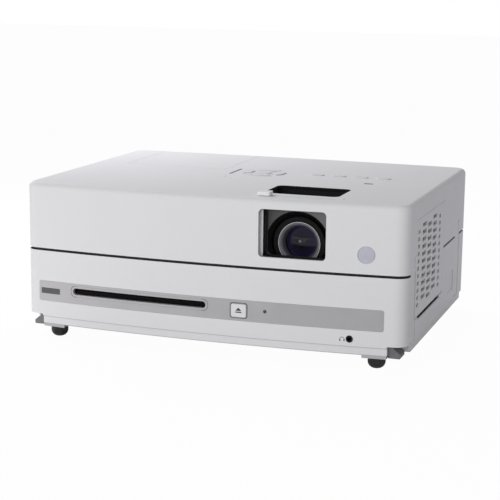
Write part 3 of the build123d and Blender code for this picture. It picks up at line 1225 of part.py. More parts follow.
def filter_cover():
    """The louvred cover, hinged on two pins at its full-round top edge."""
    x0, x1 = RIGHT - COVER_THICK, RIGHT
    half = COVER_THICK / 2
    top_z = COVER_Z[1]
    profile = [
        Line((x0, COVER_Z[0]), (x1 - COVER_BEVEL, COVER_Z[0])),
        Line((x1 - COVER_BEVEL, COVER_Z[0]), (x1, COVER_Z[0] + COVER_BEVEL)),
        Line((x1, COVER_Z[0] + COVER_BEVEL), (x1, top_z - half)),
        ThreePointArc((x1, top_z - half), (x1 - half, top_z), (x0, top_z - half)),
        Line((x0, top_z - half), (x0, COVER_Z[0])),
    ]
    plate = Plane(origin=(0, COVER_Y[1], 0), x_dir=(1, 0, 0), z_dir=(0, -1, 0)).location
    cover = plate * extrude(make_face(profile), COVER_LENGTH)
    start = (COVER_Y[0] + LOUVRE_START, first_row(COVER_Z, LOUVRE_ROWS))
    slots = louvre_cuts(*start, LOUVRE_COLUMNS, LOUVRE_ROWS, True)
    cover -= across(slots, 0, 0, x0 - 1, x1 + 1)
    pin_y = grown(COVER_Y, PIN_REACH)
    pin = Rot(90, 0, 0) * Cylinder(PIN_R, pin_y[1] - pin_y[0])
    return cover + Pos(COVER_PIN_X, sum(pin_y) / 2, COVER_PIN_Z) * pin


def air_filter():
    x1 = RIGHT - COVER_THICK - 2 * FIT
    return slab((x1 - FILTER_THICK, x1), grown(FILTER_Y, -SEAT), grown(FILTER_Z, -SEAT))


def exhaust_grille():
    plate = slab((LEFT, LEFT + GRILLE_THICK), GRILLE_Y, GRILLE_Z)
    y0 = sum(GRILLE_Y) / 2 - LOUVRE_PITCH_Y * (GRILLE_COLUMNS - 1) / 2
    slots = louvre_cuts(y0, first_row(GRILLE_Z, GRILLE_ROWS), GRILLE_COLUMNS, GRILLE_ROWS, False)
    return plate - across(slots, 0, 0, LEFT - 1, LEFT + GRILLE_THICK + 1)


# ---- Disc drive ----
SPINDLE_Y = FRONT + SPINDLE_BACK
ROLLER_Y, ROLLER_Z = FRONT + ROLLER_BACK, SLOT_Z - ROLLER_DROP - ROLLER_R
TURNTABLE_Z = SLOT_Z - TURNTABLE_DROP
DRIVE_FLOOR = DRIVE_Z[0] + DRIVE_SIDE
TRAVERSE_Z = DRIVE_FLOOR + FIT
TRAVERSE_TOP = TRAVERSE_Z + TRAVERSE_THICK
TRAVERSE_X = around(SLOT_X, TRAVERSE_W)
TRAVERSE_Y = (SPINDLE_Y - MOTOR_R - 5.5, DRIVE_Y[1] - DRIVE_SIDE - FIT)
ROD_Z = TRAVERSE_TOP + SCREW_MOTOR_R
FRONT_BAR_Y = (SPINDLE_Y + MOTOR_R + 0.4, SPINDLE_Y + MOTOR_R + 2.9)
SLED_Y = (SPINDLE_Y + SLED_START - SLED_L / 2, SPINDLE_Y + SLED_START + SLED_L / 2)
REAR_BAR_Y = (SLED_Y[1] + SLED_RUN + 0.6, SLED_Y[1] + SLED_RUN + 3.1)
SCREW_X = SLOT_X + ROD_SPREAD / 2 + 5.0
DAMPER_PLACES = corners(TRAVERSE_X, TRAVERSE_Y, 4.5)


def drive_chassis():
    """The folded tray of the slot-loading drive, with the pins that the traverse rides on."""
    tray = slab(DRIVE_X, DRIVE_Y, DRIVE_Z)
    inside = (grown(DRIVE_X, -DRIVE_SIDE), grown(DRIVE_Y, -DRIVE_SIDE))
    tray -= slab(*inside, (DRIVE_FLOOR, DRIVE_Z[1] + 1))
    tray -= slot_hole(0, DRIVE_Y[0] - 1, DRIVE_Y[0] + DRIVE_SIDE + 1)
    tray -= across(Circle(JOURNAL_R + JOURNAL_PLAY), ROLLER_Y, ROLLER_Z, *grown(DRIVE_X, 1))
    return tray + posts(DAMPER_PLACES, DAMPER_R, DRIVE_FLOOR - 0.5, TRAVERSE_TOP + TRAVERSE_LIFT + 1.0)


def drive_top_plate():
    plate = slab(DRIVE_X, DRIVE_Y, (DRIVE_Z[1], DRIVE_Z[1] + DRIVE_SIDE))
    hole = up(Circle(CLAMPER_NECK_R + FIT), SLOT_X, SPINDLE_Y, DRIVE_Z[1] - 1, DRIVE_Z[1] + DRIVE_SIDE + 1)
    return plate - hole


def clamper():
    """The magnetic clamp that hangs in the top plate's hole over the turntable."""
    plate_top = DRIVE_Z[1] + DRIVE_SIDE
    flange = up(Circle(CLAMPER_R), SLOT_X, SPINDLE_Y, plate_top + FIT, plate_top + FIT + 1.6)
    neck_low = DRIVE_Z[1] - CLAMPER_DROP
    neck = up(Circle(CLAMPER_NECK_R), SLOT_X, SPINDLE_Y, neck_low, plate_top + FIT + 1)
    return flange + neck + up(Circle(CLAMPER_NECK_R + 3), SLOT_X, SPINDLE_Y, neck_low - 1.6, neck_low)


def feed_roller():
    """The rubber feed roller, waisted towards its middle so that it grips only the disc's rim."""
    end = (DRIVE_X[1] - DRIVE_X[0]) / 2
    half = end - DRIVE_SIDE - FIT
    points = [
        (0, -end),
        (JOURNAL_R, -end),
        (JOURNAL_R, -half),
        (ROLLER_R, -half),
        (ROLLER_R - ROLLER_TAPER, 0),
        (ROLLER_R, half),
        (JOURNAL_R, half),
        (JOURNAL_R, end),
        (0, end),
    ]
    roller = revolve(make_face(Polyline(*points, close=True)), Axis.Y)
    return Pos(SLOT_X, ROLLER_Y, ROLLER_Z) * Rot(0, 0, 90) * roller


def traverse_plate():
    """The plate that carries the spindle and the sled's rods, sprung on the chassis's pins."""
    plate = slab(TRAVERSE_X, TRAVERSE_Y, (TRAVERSE_Z, TRAVERSE_TOP))
    bar_x = (SLOT_X - ROD_SPREAD / 2 - 3.5, SCREW_X + 3.5)
    bar_z = (TRAVERSE_TOP - 0.5, ROD_Z + ROD_R + 0.9)
    for bar_y in (FRONT_BAR_Y, REAR_BAR_Y):
        plate += slab(bar_x, bar_y, bar_z)
    for x in (SLOT_X - ROD_SPREAD / 2, SLOT_X + ROD_SPREAD / 2):
        plate -= back(Circle(ROD_R + SEAT), x, ROD_Z, FRONT_BAR_Y[0] - 1, REAR_BAR_Y[1] + 1)
    plate -= back(Circle(SCREW_R + JOURNAL_PLAY), SCREW_X, ROD_Z, FRONT_BAR_Y[0] - 1, REAR_BAR_Y[1] + 1)
    return plate - posts(DAMPER_PLACES, DAMPER_R + FIT, TRAVERSE_Z - 1, TRAVERSE_TOP + 1)


def drive_motors():
    """The spindle motor and the small motor that turns the sled's lead screw."""
    spindle = up(Circle(MOTOR_R), SLOT_X, SPINDLE_Y, TRAVERSE_TOP, TRAVERSE_TOP + MOTOR_HEIGHT)
    motor_y = (FRONT_BAR_Y[0] - SCREW_MOTOR_L, FRONT_BAR_Y[0])
    screw_motor = back(Circle(SCREW_MOTOR_R) - Circle(SCREW_R + JOURNAL_PLAY), SCREW_X, ROD_Z, *motor_y)
    return Part() + [spindle, screw_motor]


def turntable():
    """The disc table with its centring hub and the motor's short shaft."""
    table = up(Circle(TURNTABLE_R), SLOT_X, SPINDLE_Y, TURNTABLE_Z - TURNTABLE_THICK, TURNTABLE_Z)
    hub = Pos(SLOT_X, SPINDLE_Y, TURNTABLE_Z + HUB_HEIGHT / 2) * Cone(HUB_R, HUB_R - 1.2, HUB_HEIGHT)
    shaft = up(Circle(SPINDLE_R), SLOT_X, SPINDLE_Y, TRAVERSE_TOP + MOTOR_HEIGHT + FIT, TURNTABLE_Z - 1)
    return table + hub + shaft


def guide_rods():
    rods = []
    for x in (SLOT_X - ROD_SPREAD / 2, SLOT_X + ROD_SPREAD / 2):
        rods.append(back(Circle(ROD_R), x, ROD_Z, FRONT_BAR_Y[0], REAR_BAR_Y[1]))
    return Part() + rods


def lead_screw():
    """The sled's drive screw: a shaft with a worm's ridges between the two bars."""
    screw = back(Circle(SCREW_R), SCREW_X, ROD_Z, FRONT_BAR_Y[0] - SCREW_MOTOR_L + 1, REAR_BAR_Y[1])
    turns = int((REAR_BAR_Y[0] - FRONT_BAR_Y[1] - 2) / (2 * SCREW_PITCH))
    for turn in range(turns):
        y = FRONT_BAR_Y[1] + 1 + 2 * SCREW_PITCH * turn
        screw += back(RegularPolygon(SCREW_R + 0.25, 8), SCREW_X, ROD_Z, y, y + SCREW_PITCH)
    return screw


def pickup_sled():
    """The laser sled on its two rods, with its lens and the finger beside the lead screw."""
    x = (SLOT_X - ROD_SPREAD / 2 - 3.0, SCREW_X - SCREW_R - 0.25 - FIT)
    z = (TRAVERSE_TOP + FIT, ROD_Z + ROD_R + 0.9)
    sled = slab(x, SLED_Y, z)
    sled -= slab(around(SLOT_X, 30), (SLED_Y[0] - 1, SLED_Y[0] + 4), grown(z, 1))
    for rod_x in (SLOT_X - ROD_SPREAD / 2, SLOT_X + ROD_SPREAD / 2):
        sled -= back(Circle(ROD_R + ROD_PLAY), rod_x, ROD_Z, SLED_Y[0] - 1, SLED_Y[1] + 1)
    return sled + up(Circle(LASER_LENS_R), SLOT_X, sum(SLED_Y) / 2 + 1, z[1] - 0.5, z[1] + 0.8)


# ---- Ports, inlet and speakers on the back ----
# The inlet, the two data sockets of the lower row and the round sockets share the panel evenly.
SOCKET_Z = (sum(PANEL_Z) / 2 - ROW_LOW, sum(PANEL_Z) / 2 + ROW_HIGH)
RCA_W = RCA_COLUMNS * RCA_PITCH
SOCKET_GAP = (PANEL_X[1] - PANEL_X[0] - INLET_W - VIDEO_SIZE[0] - WIDE_SIZE[0] - RCA_W) / 5
INLET_X = PANEL_X[0] + SOCKET_GAP + INLET_W / 2
VIDEO_X = INLET_X + INLET_W / 2 + SOCKET_GAP + VIDEO_SIZE[0] / 2
WIDE_X = VIDEO_X + VIDEO_SIZE[0] / 2 + SOCKET_GAP + WIDE_SIZE[0] / 2
RCA_X = WIDE_X + WIDE_SIZE[0] / 2 + SOCKET_GAP + RCA_PITCH / 2
RCA_PLACES = [(RCA_X + RCA_PITCH * step, z) for step in range(RCA_COLUMNS) for z in SOCKET_Z]
DATA_PLACES = [
    (VIDEO_SIZE, VIDEO_X, SOCKET_Z[0]),
    (WIDE_SIZE, WIDE_X, SOCKET_Z[0]),
    (FLAT_SIZE, WIDE_X - FLAT_PITCH, SOCKET_Z[1]),
    (FLAT_SIZE, WIDE_X, SOCKET_Z[1]),
]


def data_profile(size, grow=0.0):
    """A socket's outline seen from the front, grown all round; the large one has round corners."""
    wide, high = size[0] + 2 * grow, size[1] + 2 * grow
    return RectangleRounded(wide, high, high / 4) if size == VIDEO_SIZE else Rectangle(wide, high)


def port_panel():
    panel = slab(PANEL_X, (PANEL_Y - PANEL_THICK, PANEL_Y), PANEL_Z)
    y = (PANEL_Y - PANEL_THICK - 1, PANEL_Y + 1)
    for size, x, z in DATA_PLACES:
        panel -= back(data_profile(size, SEAT), x, z, *y)
    for x, z in RCA_PLACES:
        panel -= back(Circle(RCA_R + SEAT), x, z, *y)
    middle_z = sum(PANEL_Z) / 2
    inlet = RectangleRounded(INLET_W + 2 * SEAT, INLET_H + 2 * SEAT, INLET_R + SEAT)
    return panel - back(inlet, INLET_X, middle_z, *y)


def data_sockets():
    """The picture and data sockets: metal shells open to the back, each with its tongue."""
    shells = []
    y = (PANEL_Y - SOCKET_DEPTH, PANEL_Y + SOCKET_PROUD / 2)
    for size, x, z in DATA_PLACES:
        body = back(data_profile(size), x, z, *y)
        body -= back(data_profile(size, -SOCKET_WALL), x, z, y[0] + 2, y[1] + 1)
        tongue_y = (y[0] + 1.5, y[1] - TONGUE_SETBACK)
        tongue = slab(around(x, size[0] * TONGUE_W), tongue_y, around(z, size[1] * TONGUE_H))
        shells.append(body + tongue)
    return Part() + shells


def rca_sockets():
    """Eight round sockets, four pairs."""
    shells = []
    for x, z in RCA_PLACES:
        y0 = PANEL_Y - SOCKET_DEPTH
        body = back(RegularPolygon(RCA_R, 16), x, z, y0, PANEL_Y + SOCKET_PROUD)
        body += back(Rectangle(RCA_BLOCK, RCA_BLOCK), x, z, y0, PANEL_Y - PANEL_THICK)
        bore_y = (PANEL_Y - RCA_BORE_DEPTH, PANEL_Y + SOCKET_PROUD + 1)
        shells.append(body - back(RegularPolygon(RCA_BORE_R, 8), x, z, *bore_y))
    return Part() + shells


def power_inlet():
    """The three-pin mains inlet."""
    z = sum(PANEL_Z) / 2
    y1 = PANEL_Y + SOCKET_PROUD / 2
    y0 = PANEL_Y - SOCKET_DEPTH
    body = back(RectangleRounded(INLET_W, INLET_H, INLET_R), INLET_X, z, y0 - 4, y1)
    well = RectangleRounded(INLET_W - 2 * INLET_WALL, INLET_H - 2 * INLET_WALL, INLET_R - 1)
    body -= back(well, INLET_X, z, y0, y1 + 1)
    for x, pin_z in INLET_PINS:
        pin_y = (y0 - 1, y1 - TONGUE_SETBACK)
        body += slab(around(INLET_X + x, PIN_W), pin_y, around(z + pin_z, PIN_H))
    return body


def speakers():
    """Two round speakers against the seats inside the back."""
    cone_back = SPEAKER_FACE - SPEAKER_DEPTH
    profile = [
        (SPEAKER_R, SPEAKER_FACE),
        (SPEAKER_R, SPEAKER_FACE - 2.5),
        (MAGNET_R, cone_back + 6),
        (MAGNET_R, cone_back),
        (0, cone_back),
        (0, cone_back + 7.5),
        (6, cone_back + 7.5),
        (SPEAKER_R - 3, SPEAKER_FACE - 1.2),
        (SPEAKER_R - 3, SPEAKER_FACE),
    ]
    return both_sides(turned(SPEAKER_X, SPEAKER_Z, profile))


def export(name, shape):
    export_step(shape, f"parts/{name}.step")


os.makedirs("parts", exist_ok=True)
export("lower_case", lower_case())
export("upper_case", upper_case())
export("trim_strip", trim_strip())
export("slot_bezel", slot_bezel())
export("dust_curtain", dust_curtain())
export("eject_button", eject_button())
export("headphone_jack", headphone_jack())
export("front_foot_left", foot(-1))
export("front_foot_right", foot(1))
export("foot_lever_left", foot_lever(-1))
export("foot_lever_right", foot_lever(1))
export("rear_feet", rear_feet())
export("case_screws", case_screws())
for key_name, key_shape in keys().items():
    export(key_name, key_shape)
export("key_board", key_board())
export("indicator_lights", indicator_lights())
export("lamp_door", lamp_door())
export("ir_windows", ir_windows())
export("shutter", shutter())
export("lens_bezel", lens_bezel())
export("lens_barrel", lens_barrel())
export("lens_retainer", lens_retainer())
export("front_lens", glass(LENS_Y - RETAINER_PROUD + RETAINER_LENGTH + GLASS_SETBACK, GLASS_CROWN))
export("focus_ring", grip_ring(FOCUS_Y))
export("zoom_ring", grip_ring(ZOOM_Y))
export("optical_engine", optical_engine())
export("lamp_unit", lamp_unit())
export("middle_deck", middle_deck())
export("main_board", main_board())
export("power_board", power_board())
export("intake_fan_frame", fan_frame(*INTAKE))
export("intake_fan_rotor", fan_rotor(*INTAKE))
export("exhaust_fan_frame", fan_frame(*EXHAUST))
export("exhaust_fan_rotor", fan_rotor(*EXHAUST))
export("filter_cover", filter_cover())
export("air_filter", air_filter())
export("exhaust_grille", exhaust_grille())
export("drive_chassis", drive_chassis())
export("drive_top_plate", drive_top_plate())
export("clamper", clamper())
export("feed_roller", feed_roller())
export("traverse_plate", traverse_plate())
export("drive_motors", drive_motors())
export("turntable", turntable())
export("guide_rods", guide_rods())
export("lead_screw", lead_screw())
export("pickup_sled", pickup_sled())
export("port_panel", port_panel())
export("data_sockets", data_sockets())
export("rca_sockets", rca_sockets())
export("power_inlet", power_inlet())
export("speakers", speakers())
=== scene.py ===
import json
import math

import bmesh
import bpy
from mathutils import Matrix, Vector, noise


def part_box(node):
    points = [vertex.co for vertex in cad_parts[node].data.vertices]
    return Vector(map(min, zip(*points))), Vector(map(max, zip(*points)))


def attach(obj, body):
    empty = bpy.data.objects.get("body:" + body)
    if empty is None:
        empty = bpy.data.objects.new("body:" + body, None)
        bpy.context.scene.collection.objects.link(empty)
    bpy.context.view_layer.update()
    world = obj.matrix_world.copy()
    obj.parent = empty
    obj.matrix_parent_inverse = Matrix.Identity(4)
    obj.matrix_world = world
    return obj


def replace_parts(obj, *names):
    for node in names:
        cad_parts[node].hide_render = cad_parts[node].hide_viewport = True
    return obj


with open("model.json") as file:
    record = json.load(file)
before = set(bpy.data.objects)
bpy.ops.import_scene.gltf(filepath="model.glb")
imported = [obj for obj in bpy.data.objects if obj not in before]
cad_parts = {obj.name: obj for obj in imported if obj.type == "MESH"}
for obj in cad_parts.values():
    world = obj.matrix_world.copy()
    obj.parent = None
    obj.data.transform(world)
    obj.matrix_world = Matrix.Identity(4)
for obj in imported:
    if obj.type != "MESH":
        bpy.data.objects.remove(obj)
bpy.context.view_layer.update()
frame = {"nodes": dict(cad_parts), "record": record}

MM = 0.001
CASE = "case"  # the body that everything fixed rides on


# ---- Camera, light and floor ----
CAMERA_AT = Vector((406.44, -1202.32, 319.25)) * MM
CAMERA_AIM = Vector((-4.55, 0.0, 66.71)) * MM
CAMERA_ROLL = math.radians(0.651)
CAMERA_LENS = 101.94

SKY_TINT = (0.955, 0.955, 1.0)
SKY_STRENGTH = 0.43
FLOOR_HALF = 6.0
FLOOR_TONE = (0.86, 0.86, 0.87)
FLOOR_WHITE_SHARE = 0.97  # how much of the floor's look is plain white


def add_camera():
    """The photograph's viewpoint: well to the right, a little above, with a long lens."""
    forward = (CAMERA_AIM - CAMERA_AT).normalized()
    level_right = forward.cross(Vector((0, 0, 1))).normalized()
    level_up = level_right.cross(forward)
    right = level_right * math.cos(CAMERA_ROLL) + level_up * math.sin(CAMERA_ROLL)
    up = right.cross(forward)
    camera = bpy.data.objects.new("camera", bpy.data.cameras.new("camera"))
    camera.data.lens = CAMERA_LENS
    camera.data.clip_start = 0.05
    rotation = Matrix((right, up, -forward)).transposed()
    camera.matrix_world = Matrix.Translation(CAMERA_AT) @ rotation.to_4x4()
    bpy.context.scene.collection.objects.link(camera)
    bpy.context.scene.camera = camera


def add_area(name, place, aim, size, watts, tint=(1, 1, 1)):
    """A soft rectangular light, itself not mirrored in glossy surfaces."""
    light = bpy.data.lights.new(name, "AREA")
    light.shape = "RECTANGLE"
    light.size, light.size_y = size
    light.energy = watts
    light.color = tint
    lamp = bpy.data.objects.new(name, light)
    place, aim = Vector(place), Vector(aim)
    lamp.location = place
    lamp.rotation_euler = (aim - place).to_track_quat("-Z", "Y").to_euler()
    lamp.visible_glossy = False
    bpy.context.scene.collection.objects.link(lamp)


def seen_directly(tree):
    """1 for camera and transmission rays, 0 for all others."""
    path = tree.nodes.new("ShaderNodeLightPath")
    seen = tree.nodes.new("ShaderNodeMath")
    seen.operation = "MAXIMUM"
    tree.links.new(path.outputs["Is Camera Ray"], seen.inputs[0])
    tree.links.new(path.outputs["Is Transmission Ray"], seen.inputs[1])
    return seen.outputs[0]


def white_to_camera(tree, shader_socket, share):
    """Mixes plain white into a shader where it is seen directly."""
    nodes, links = tree.nodes, tree.links
    amount = nodes.new("ShaderNodeMath")
    amount.operation = "MULTIPLY"
    amount.inputs[1].default_value = share
    links.new(seen_directly(tree), amount.inputs[0])
    white = nodes.new("ShaderNodeEmission")
    white.inputs["Strength"].default_value = 1.0
    mix = nodes.new("ShaderNodeMixShader")
    links.new(amount.outputs[0], mix.inputs["Fac"])
    links.new(shader_socket, mix.inputs[1])
    links.new(white.outputs[0], mix.inputs[2])
    return mix.outputs[0]


def add_world():
    """A soft, slightly cool light all round, and plain white where it is seen directly."""
    world = bpy.data.worlds.new("studio")
    bpy.context.scene.world = world
    world.use_nodes = True
    nodes, links = world.node_tree.nodes, world.node_tree.links
    nodes.clear()
    soft = nodes.new("ShaderNodeBackground")
    soft.inputs["Color"].default_value = (*SKY_TINT, 1)
    soft.inputs["Strength"].default_value = SKY_STRENGTH
    white = nodes.new("ShaderNodeBackground")
    white.inputs["Color"].default_value = (1, 1, 1, 1)
    white.inputs["Strength"].default_value = 1.0
    mix = nodes.new("ShaderNodeMixShader")
    links.new(seen_directly(world.node_tree), mix.inputs["Fac"])
    links.new(soft.outputs[0], mix.inputs[1])
    links.new(white.outputs[0], mix.inputs[2])
    output = nodes.new("ShaderNodeOutputWorld")
    links.new(mix.outputs[0], output.inputs["Surface"])


def add_floor():
    """A wide table top that shows as white and takes only a trace of shadow."""
    mesh = bpy.data.meshes.new("floor")
    half = FLOOR_HALF
    corners = [(-half, -half, 0), (half, -half, 0), (half, half, 0), (-half, half, 0)]
    mesh.from_pydata(corners, [], [(0, 1, 2, 3)])
    floor = bpy.data.objects.new("floor", mesh)
    bpy.context.scene.collection.objects.link(floor)
    material = bpy.data.materials.new("floor")
    material.use_nodes = True
    tree = material.node_tree
    shader = tree.nodes["Principled BSDF"]
    shader.inputs["Base Color"].default_value = (*FLOOR_TONE, 1)
    shader.inputs["Roughness"].default_value = 0.9
    output = tree.nodes["Material Output"]
    whitened = white_to_camera(tree, shader.outputs[0], FLOOR_WHITE_SHARE)
    tree.links.new(whitened, output.inputs["Surface"])
    mesh.materials.append(material)


# ---- Material helpers ----
class Kit:
    """A small wrapper that builds one node material."""

    def __init__(self, name, color, roughness, metallic=0.0):
        self.material = bpy.data.materials.new(name)
        self.material.use_nodes = True
        self.tree = self.material.node_tree
        self.shader = self.tree.nodes["Principled BSDF"]
        self.set("Base Color", (*color, 1))
        self.set("Roughness", roughness)
        self.set("Metallic", metallic)
        self.where = self.node("ShaderNodeTexCoord").outputs["Object"]
        self.height = None

    def node(self, kind, **settings):
        made = self.tree.nodes.new(kind)
        for key, value in settings.items():
            setattr(made, key, value)
        return made

    def link(self, source, target):
        self.tree.links.new(source, target)

    def set(self, socket, value):
        self.shader.inputs[socket].default_value = value

    def noise(self, size, detail=3.0, stretch=(1, 1, 1)):
        """Noise whose grain is about size metres across."""
        mapping = self.node("ShaderNodeMapping")
        mapping.inputs["Scale"].default_value = stretch
        self.link(self.where, mapping.inputs["Vector"])
        texture = self.node("ShaderNodeTexNoise")
        texture.inputs["Scale"].default_value = 1 / size
        texture.inputs["Detail"].default_value = detail
        self.link(mapping.outputs[0], texture.inputs["Vector"])
        return texture.outputs["Fac"]

    def span(self, value, low, high, to_low, to_high):
        """Maps low..high to to_low..to_high, held at both ends."""
        node = self.node("ShaderNodeMapRange")
        numbers = {"From Min": low, "From Max": high, "To Min": to_low, "To Max": to_high}
        for socket, number in numbers.items():
            node.inputs[socket].default_value = number
        self.link(value, node.inputs["Value"])
        return node.outputs["Result"]

    def math(self, operation, a, b):
        node = self.node("ShaderNodeMath", operation=operation)
        for socket, value in zip(node.inputs, (a, b)):
            if isinstance(value, (int, float)):
                socket.default_value = value
            else:
                self.link(value, socket)
        return node.outputs[0]

    def mix(self, factor, a, b):
        node = self.node("ShaderNodeMix", data_type="RGBA")
        self.link(factor, node.inputs["Factor"])
        for socket, value in ((node.inputs[6], a), (node.inputs[7], b)):
            if isinstance(value, tuple):
                socket.default_value = (*value, 1)
            else:
                self.link(value, socket)
        return node.outputs[2]

    def axis(self, name):
        split = self.node("ShaderNodeSeparateXYZ")
        self.link(self.where, split.inputs[0])
        return split.outputs[name]

    def band(self, value, low, high, soft):
        """1 between low and high, falling to 0 over soft on each side."""
        rise = self.span(value, low - soft, low + soft, 0, 1)
        fall = self.span(value, high - soft, high + soft, 1, 0)
        return self.math("MULTIPLY", rise, fall)

    def inside(self, low, high, soft=0.00005):
        """1 inside a box whose corners are given in metres, 0 outside."""
        split = self.node("ShaderNodeSeparateXYZ")
        self.link(self.where, split.inputs[0])
        amount = None
        for axis, floor, ceiling in zip("XYZ", low, high):
            part = self.band(split.outputs[axis], floor, ceiling, soft)
            amount = part if amount is None else self.math("MULTIPLY", amount, part)
        return amount

    def reach(self, x, z):
        """The distance from a line along Y."""
        split = self.node("ShaderNodeSeparateXYZ")
        self.link(self.where, split.inputs[0])
        across = self.math("SUBTRACT", split.outputs["X"], x)
        up = self.math("SUBTRACT", split.outputs["Z"], z)
        across_squared = self.math("MULTIPLY", across, across)
        up_squared = self.math("MULTIPLY", up, up)
        return self.math("POWER", self.math("ADD", across_squared, up_squared), 0.5)

    def color(self, socket):
        self.link(socket, self.shader.inputs["Base Color"])

    def rough(self, socket):
        self.link(socket, self.shader.inputs["Roughness"])

    def bump(self, height, depth, strength=1.0):
        node = self.node("ShaderNodeBump")
        node.inputs["Distance"].default_value = depth
        node.inputs["Strength"].default_value = strength
        self.link(height, node.inputs["Height"])
        if self.height is not None:
            self.link(self.height, node.inputs["Normal"])
        self.height = node.outputs[0]
        self.link(self.height, self.shader.inputs["Normal"])

    def edge_wear(self, radius, low, high):
        """How much a point lies on an outer edge, from 0 to 1."""
        bevel = self.node("ShaderNodeBevel", samples=4)
        bevel.inputs["Radius"].default_value = radius
        geometry = self.node("ShaderNodeNewGeometry")
        dot = self.node("ShaderNodeVectorMath", operation="DOT_PRODUCT")
        self.link(bevel.outputs[0], dot.inputs[0])
        self.link(geometry.outputs["Normal"], dot.inputs[1])
        return self.span(dot.outputs["Value"], high, low, 0, 1)


# ---- Materials ----
WHITE = (0.80, 0.80, 0.80)
# The door gets a whiter tone than the case: painted light against the shadow of the window's edge.
DOOR_PAINTED_LIGHT_WHITE = (0.88, 0.88, 0.88)
LEVER_GREY = (0.185, 0.187, 0.192)
NEAR_BLACK = (0.008, 0.008, 0.009)
# The tone of the painted shade in the seam's groove.
SEAM_SHADE_TONE = (0.020, 0.020, 0.022)
LENS_X, LENS_Z = 0.076, 0.0986

# Boxes in metres, each with a tone painted on the case inside it. Painted shade goes in the seam's
# groove, on the plinth's step, along its bottom edge and in the finger slit. The ring window's
# liner walls get the black of the liner. The seam's painted shade stops short of the side channels,
# whose tabs stand further out and stay white.
SEAM_SHADE_BOX = ((-0.1690, -1, 0.0776), (0.1690, 1, 0.0798), SEAM_SHADE_TONE)
PLINTH_STEP_SHADE = ((-1, -1, 0.0186), (1, 1, 0.0196), (0.56, 0.56, 0.565))
PLINTH_EDGE_SHADE = ((-1, -1, 0.0100), (1, 1, 0.0131), (0.50, 0.50, 0.51))
FINGER_SLIT_SHADE = ((0.1630, -0.0800, 0.0354), (0.1690, 0.0080, 0.0384), NEAR_BLACK)
RING_WINDOW = ((0.0380, -0.0967, 0.1200), (0.1048, -0.0498, 0.1363), NEAR_BLACK)


def white_plastic(name, base, roughness, shadows=()):
    """Satin moulded plastic with a very fine texture; shadows are boxes with their own tone:
    painted shade, and also the black of a liner wall.
    """
    kit = Kit(name, base, roughness)
    drift = kit.span(kit.noise(0.05), 0.3, 0.7, 0, 1)
    tone = kit.mix(drift, tuple(c * 0.985 for c in base), base)
    # Each box paints its tone over the plastic, mostly as painted shade.
    for low, high, dark in shadows:
        tone = kit.mix(kit.inside(low, high), tone, dark)
    kit.color(tone)
    kit.rough(kit.span(kit.noise(0.006, 4), 0.3, 0.7, roughness - 0.05, roughness + 0.06))
    kit.bump(kit.noise(0.0006, 2), 0.00002, 0.35)
    kit.set("Specular IOR Level", 0.35)
    return kit.material


def silver_lacquer():
    kit = Kit("silver_trim", (0.52, 0.51, 0.50), 0.42, 0.15)
    flakes = kit.noise(0.0004, 2)
    drift = kit.span(kit.noise(0.03), 0.3, 0.7, 0, 1)
    # Painted light and shade: paler at the strip's left end, where the key light falls, and darker
    # towards its right.
    along = kit.span(kit.axis("X"), -0.16, 0.15, 0, 1)
    tone = kit.mix(along, (0.55, 0.535, 0.53), (0.43, 0.43, 0.435))
    tone = kit.mix(kit.math("MULTIPLY", drift, 0.25), tone, (0.6, 0.59, 0.59))
    kit.color(kit.mix(kit.span(flakes, 0.45, 0.75, 0, 0.35), tone, (0.64, 0.63, 0.63)))
    kit.rough(kit.span(kit.noise(0.004), 0.3, 0.7, 0.36, 0.48))
    kit.bump(flakes, 0.00001, 0.3)
    return kit.material


def matte(name, base, roughness, grain=0.0008, depth=0.00004, wear=0.06):
    """Moulded plastic with a spark-eroded grain and slightly polished outer edges."""
    kit = Kit(name, base, roughness)
    drift = kit.span(kit.noise(0.02), 0.3, 0.7, 0, 1)
    tone = kit.mix(drift, tuple(c * 0.9 for c in base), tuple(c * 1.12 for c in base))
    if wear:
        edges = kit.math("MULTIPLY", kit.edge_wear(0.0006, 0.8, 0.98), wear * 4)
        tone = kit.mix(edges, tone, tuple(min(1, c + wear) for c in base))
    kit.color(tone)
    kit.rough(kit.span(kit.noise(0.003), 0.3, 0.7, roughness - 0.07, roughness + 0.08))
    kit.bump(kit.noise(grain, 2), depth, 0.5)
    return kit.material


def rubber():
    kit = Kit("foot_rubber", (0.022, 0.022, 0.023), 0.62)
    tone = kit.span(kit.noise(0.004), 0.35, 0.7, 0, 1)
    kit.color(kit.mix(tone, (0.016, 0.016, 0.017), (0.036, 0.036, 0.037)))
    kit.rough(kit.span(kit.noise(0.001), 0.3, 0.7, 0.55, 0.75))
    kit.bump(kit.noise(0.0005), 0.00005, 0.6)
    kit.set("Sheen Weight", 0.15)
    return kit.material


def steel(name):
    kit = Kit(name, (0.55, 0.56, 0.57), 0.32, 1.0)
    streaks = kit.noise(0.02, 4, (1, 14, 1))
    kit.rough(kit.span(streaks, 0.3, 0.7, 0.22, 0.42))
    drift = kit.span(kit.noise(0.01), 0.3, 0.7, 0, 1)
    kit.color(kit.mix(drift, (0.5, 0.51, 0.53), (0.62, 0.62, 0.61)))
    kit.bump(streaks, 0.00001, 0.4)
    return kit.material


def cast_metal():
    kit = Kit("cast_metal", (0.38, 0.385, 0.39), 0.5, 0.9)
    kit.rough(kit.span(kit.noise(0.003), 0.3, 0.7, 0.42, 0.62))
    kit.bump(kit.noise(0.0009, 4), 0.00008, 0.6)
    return kit.material


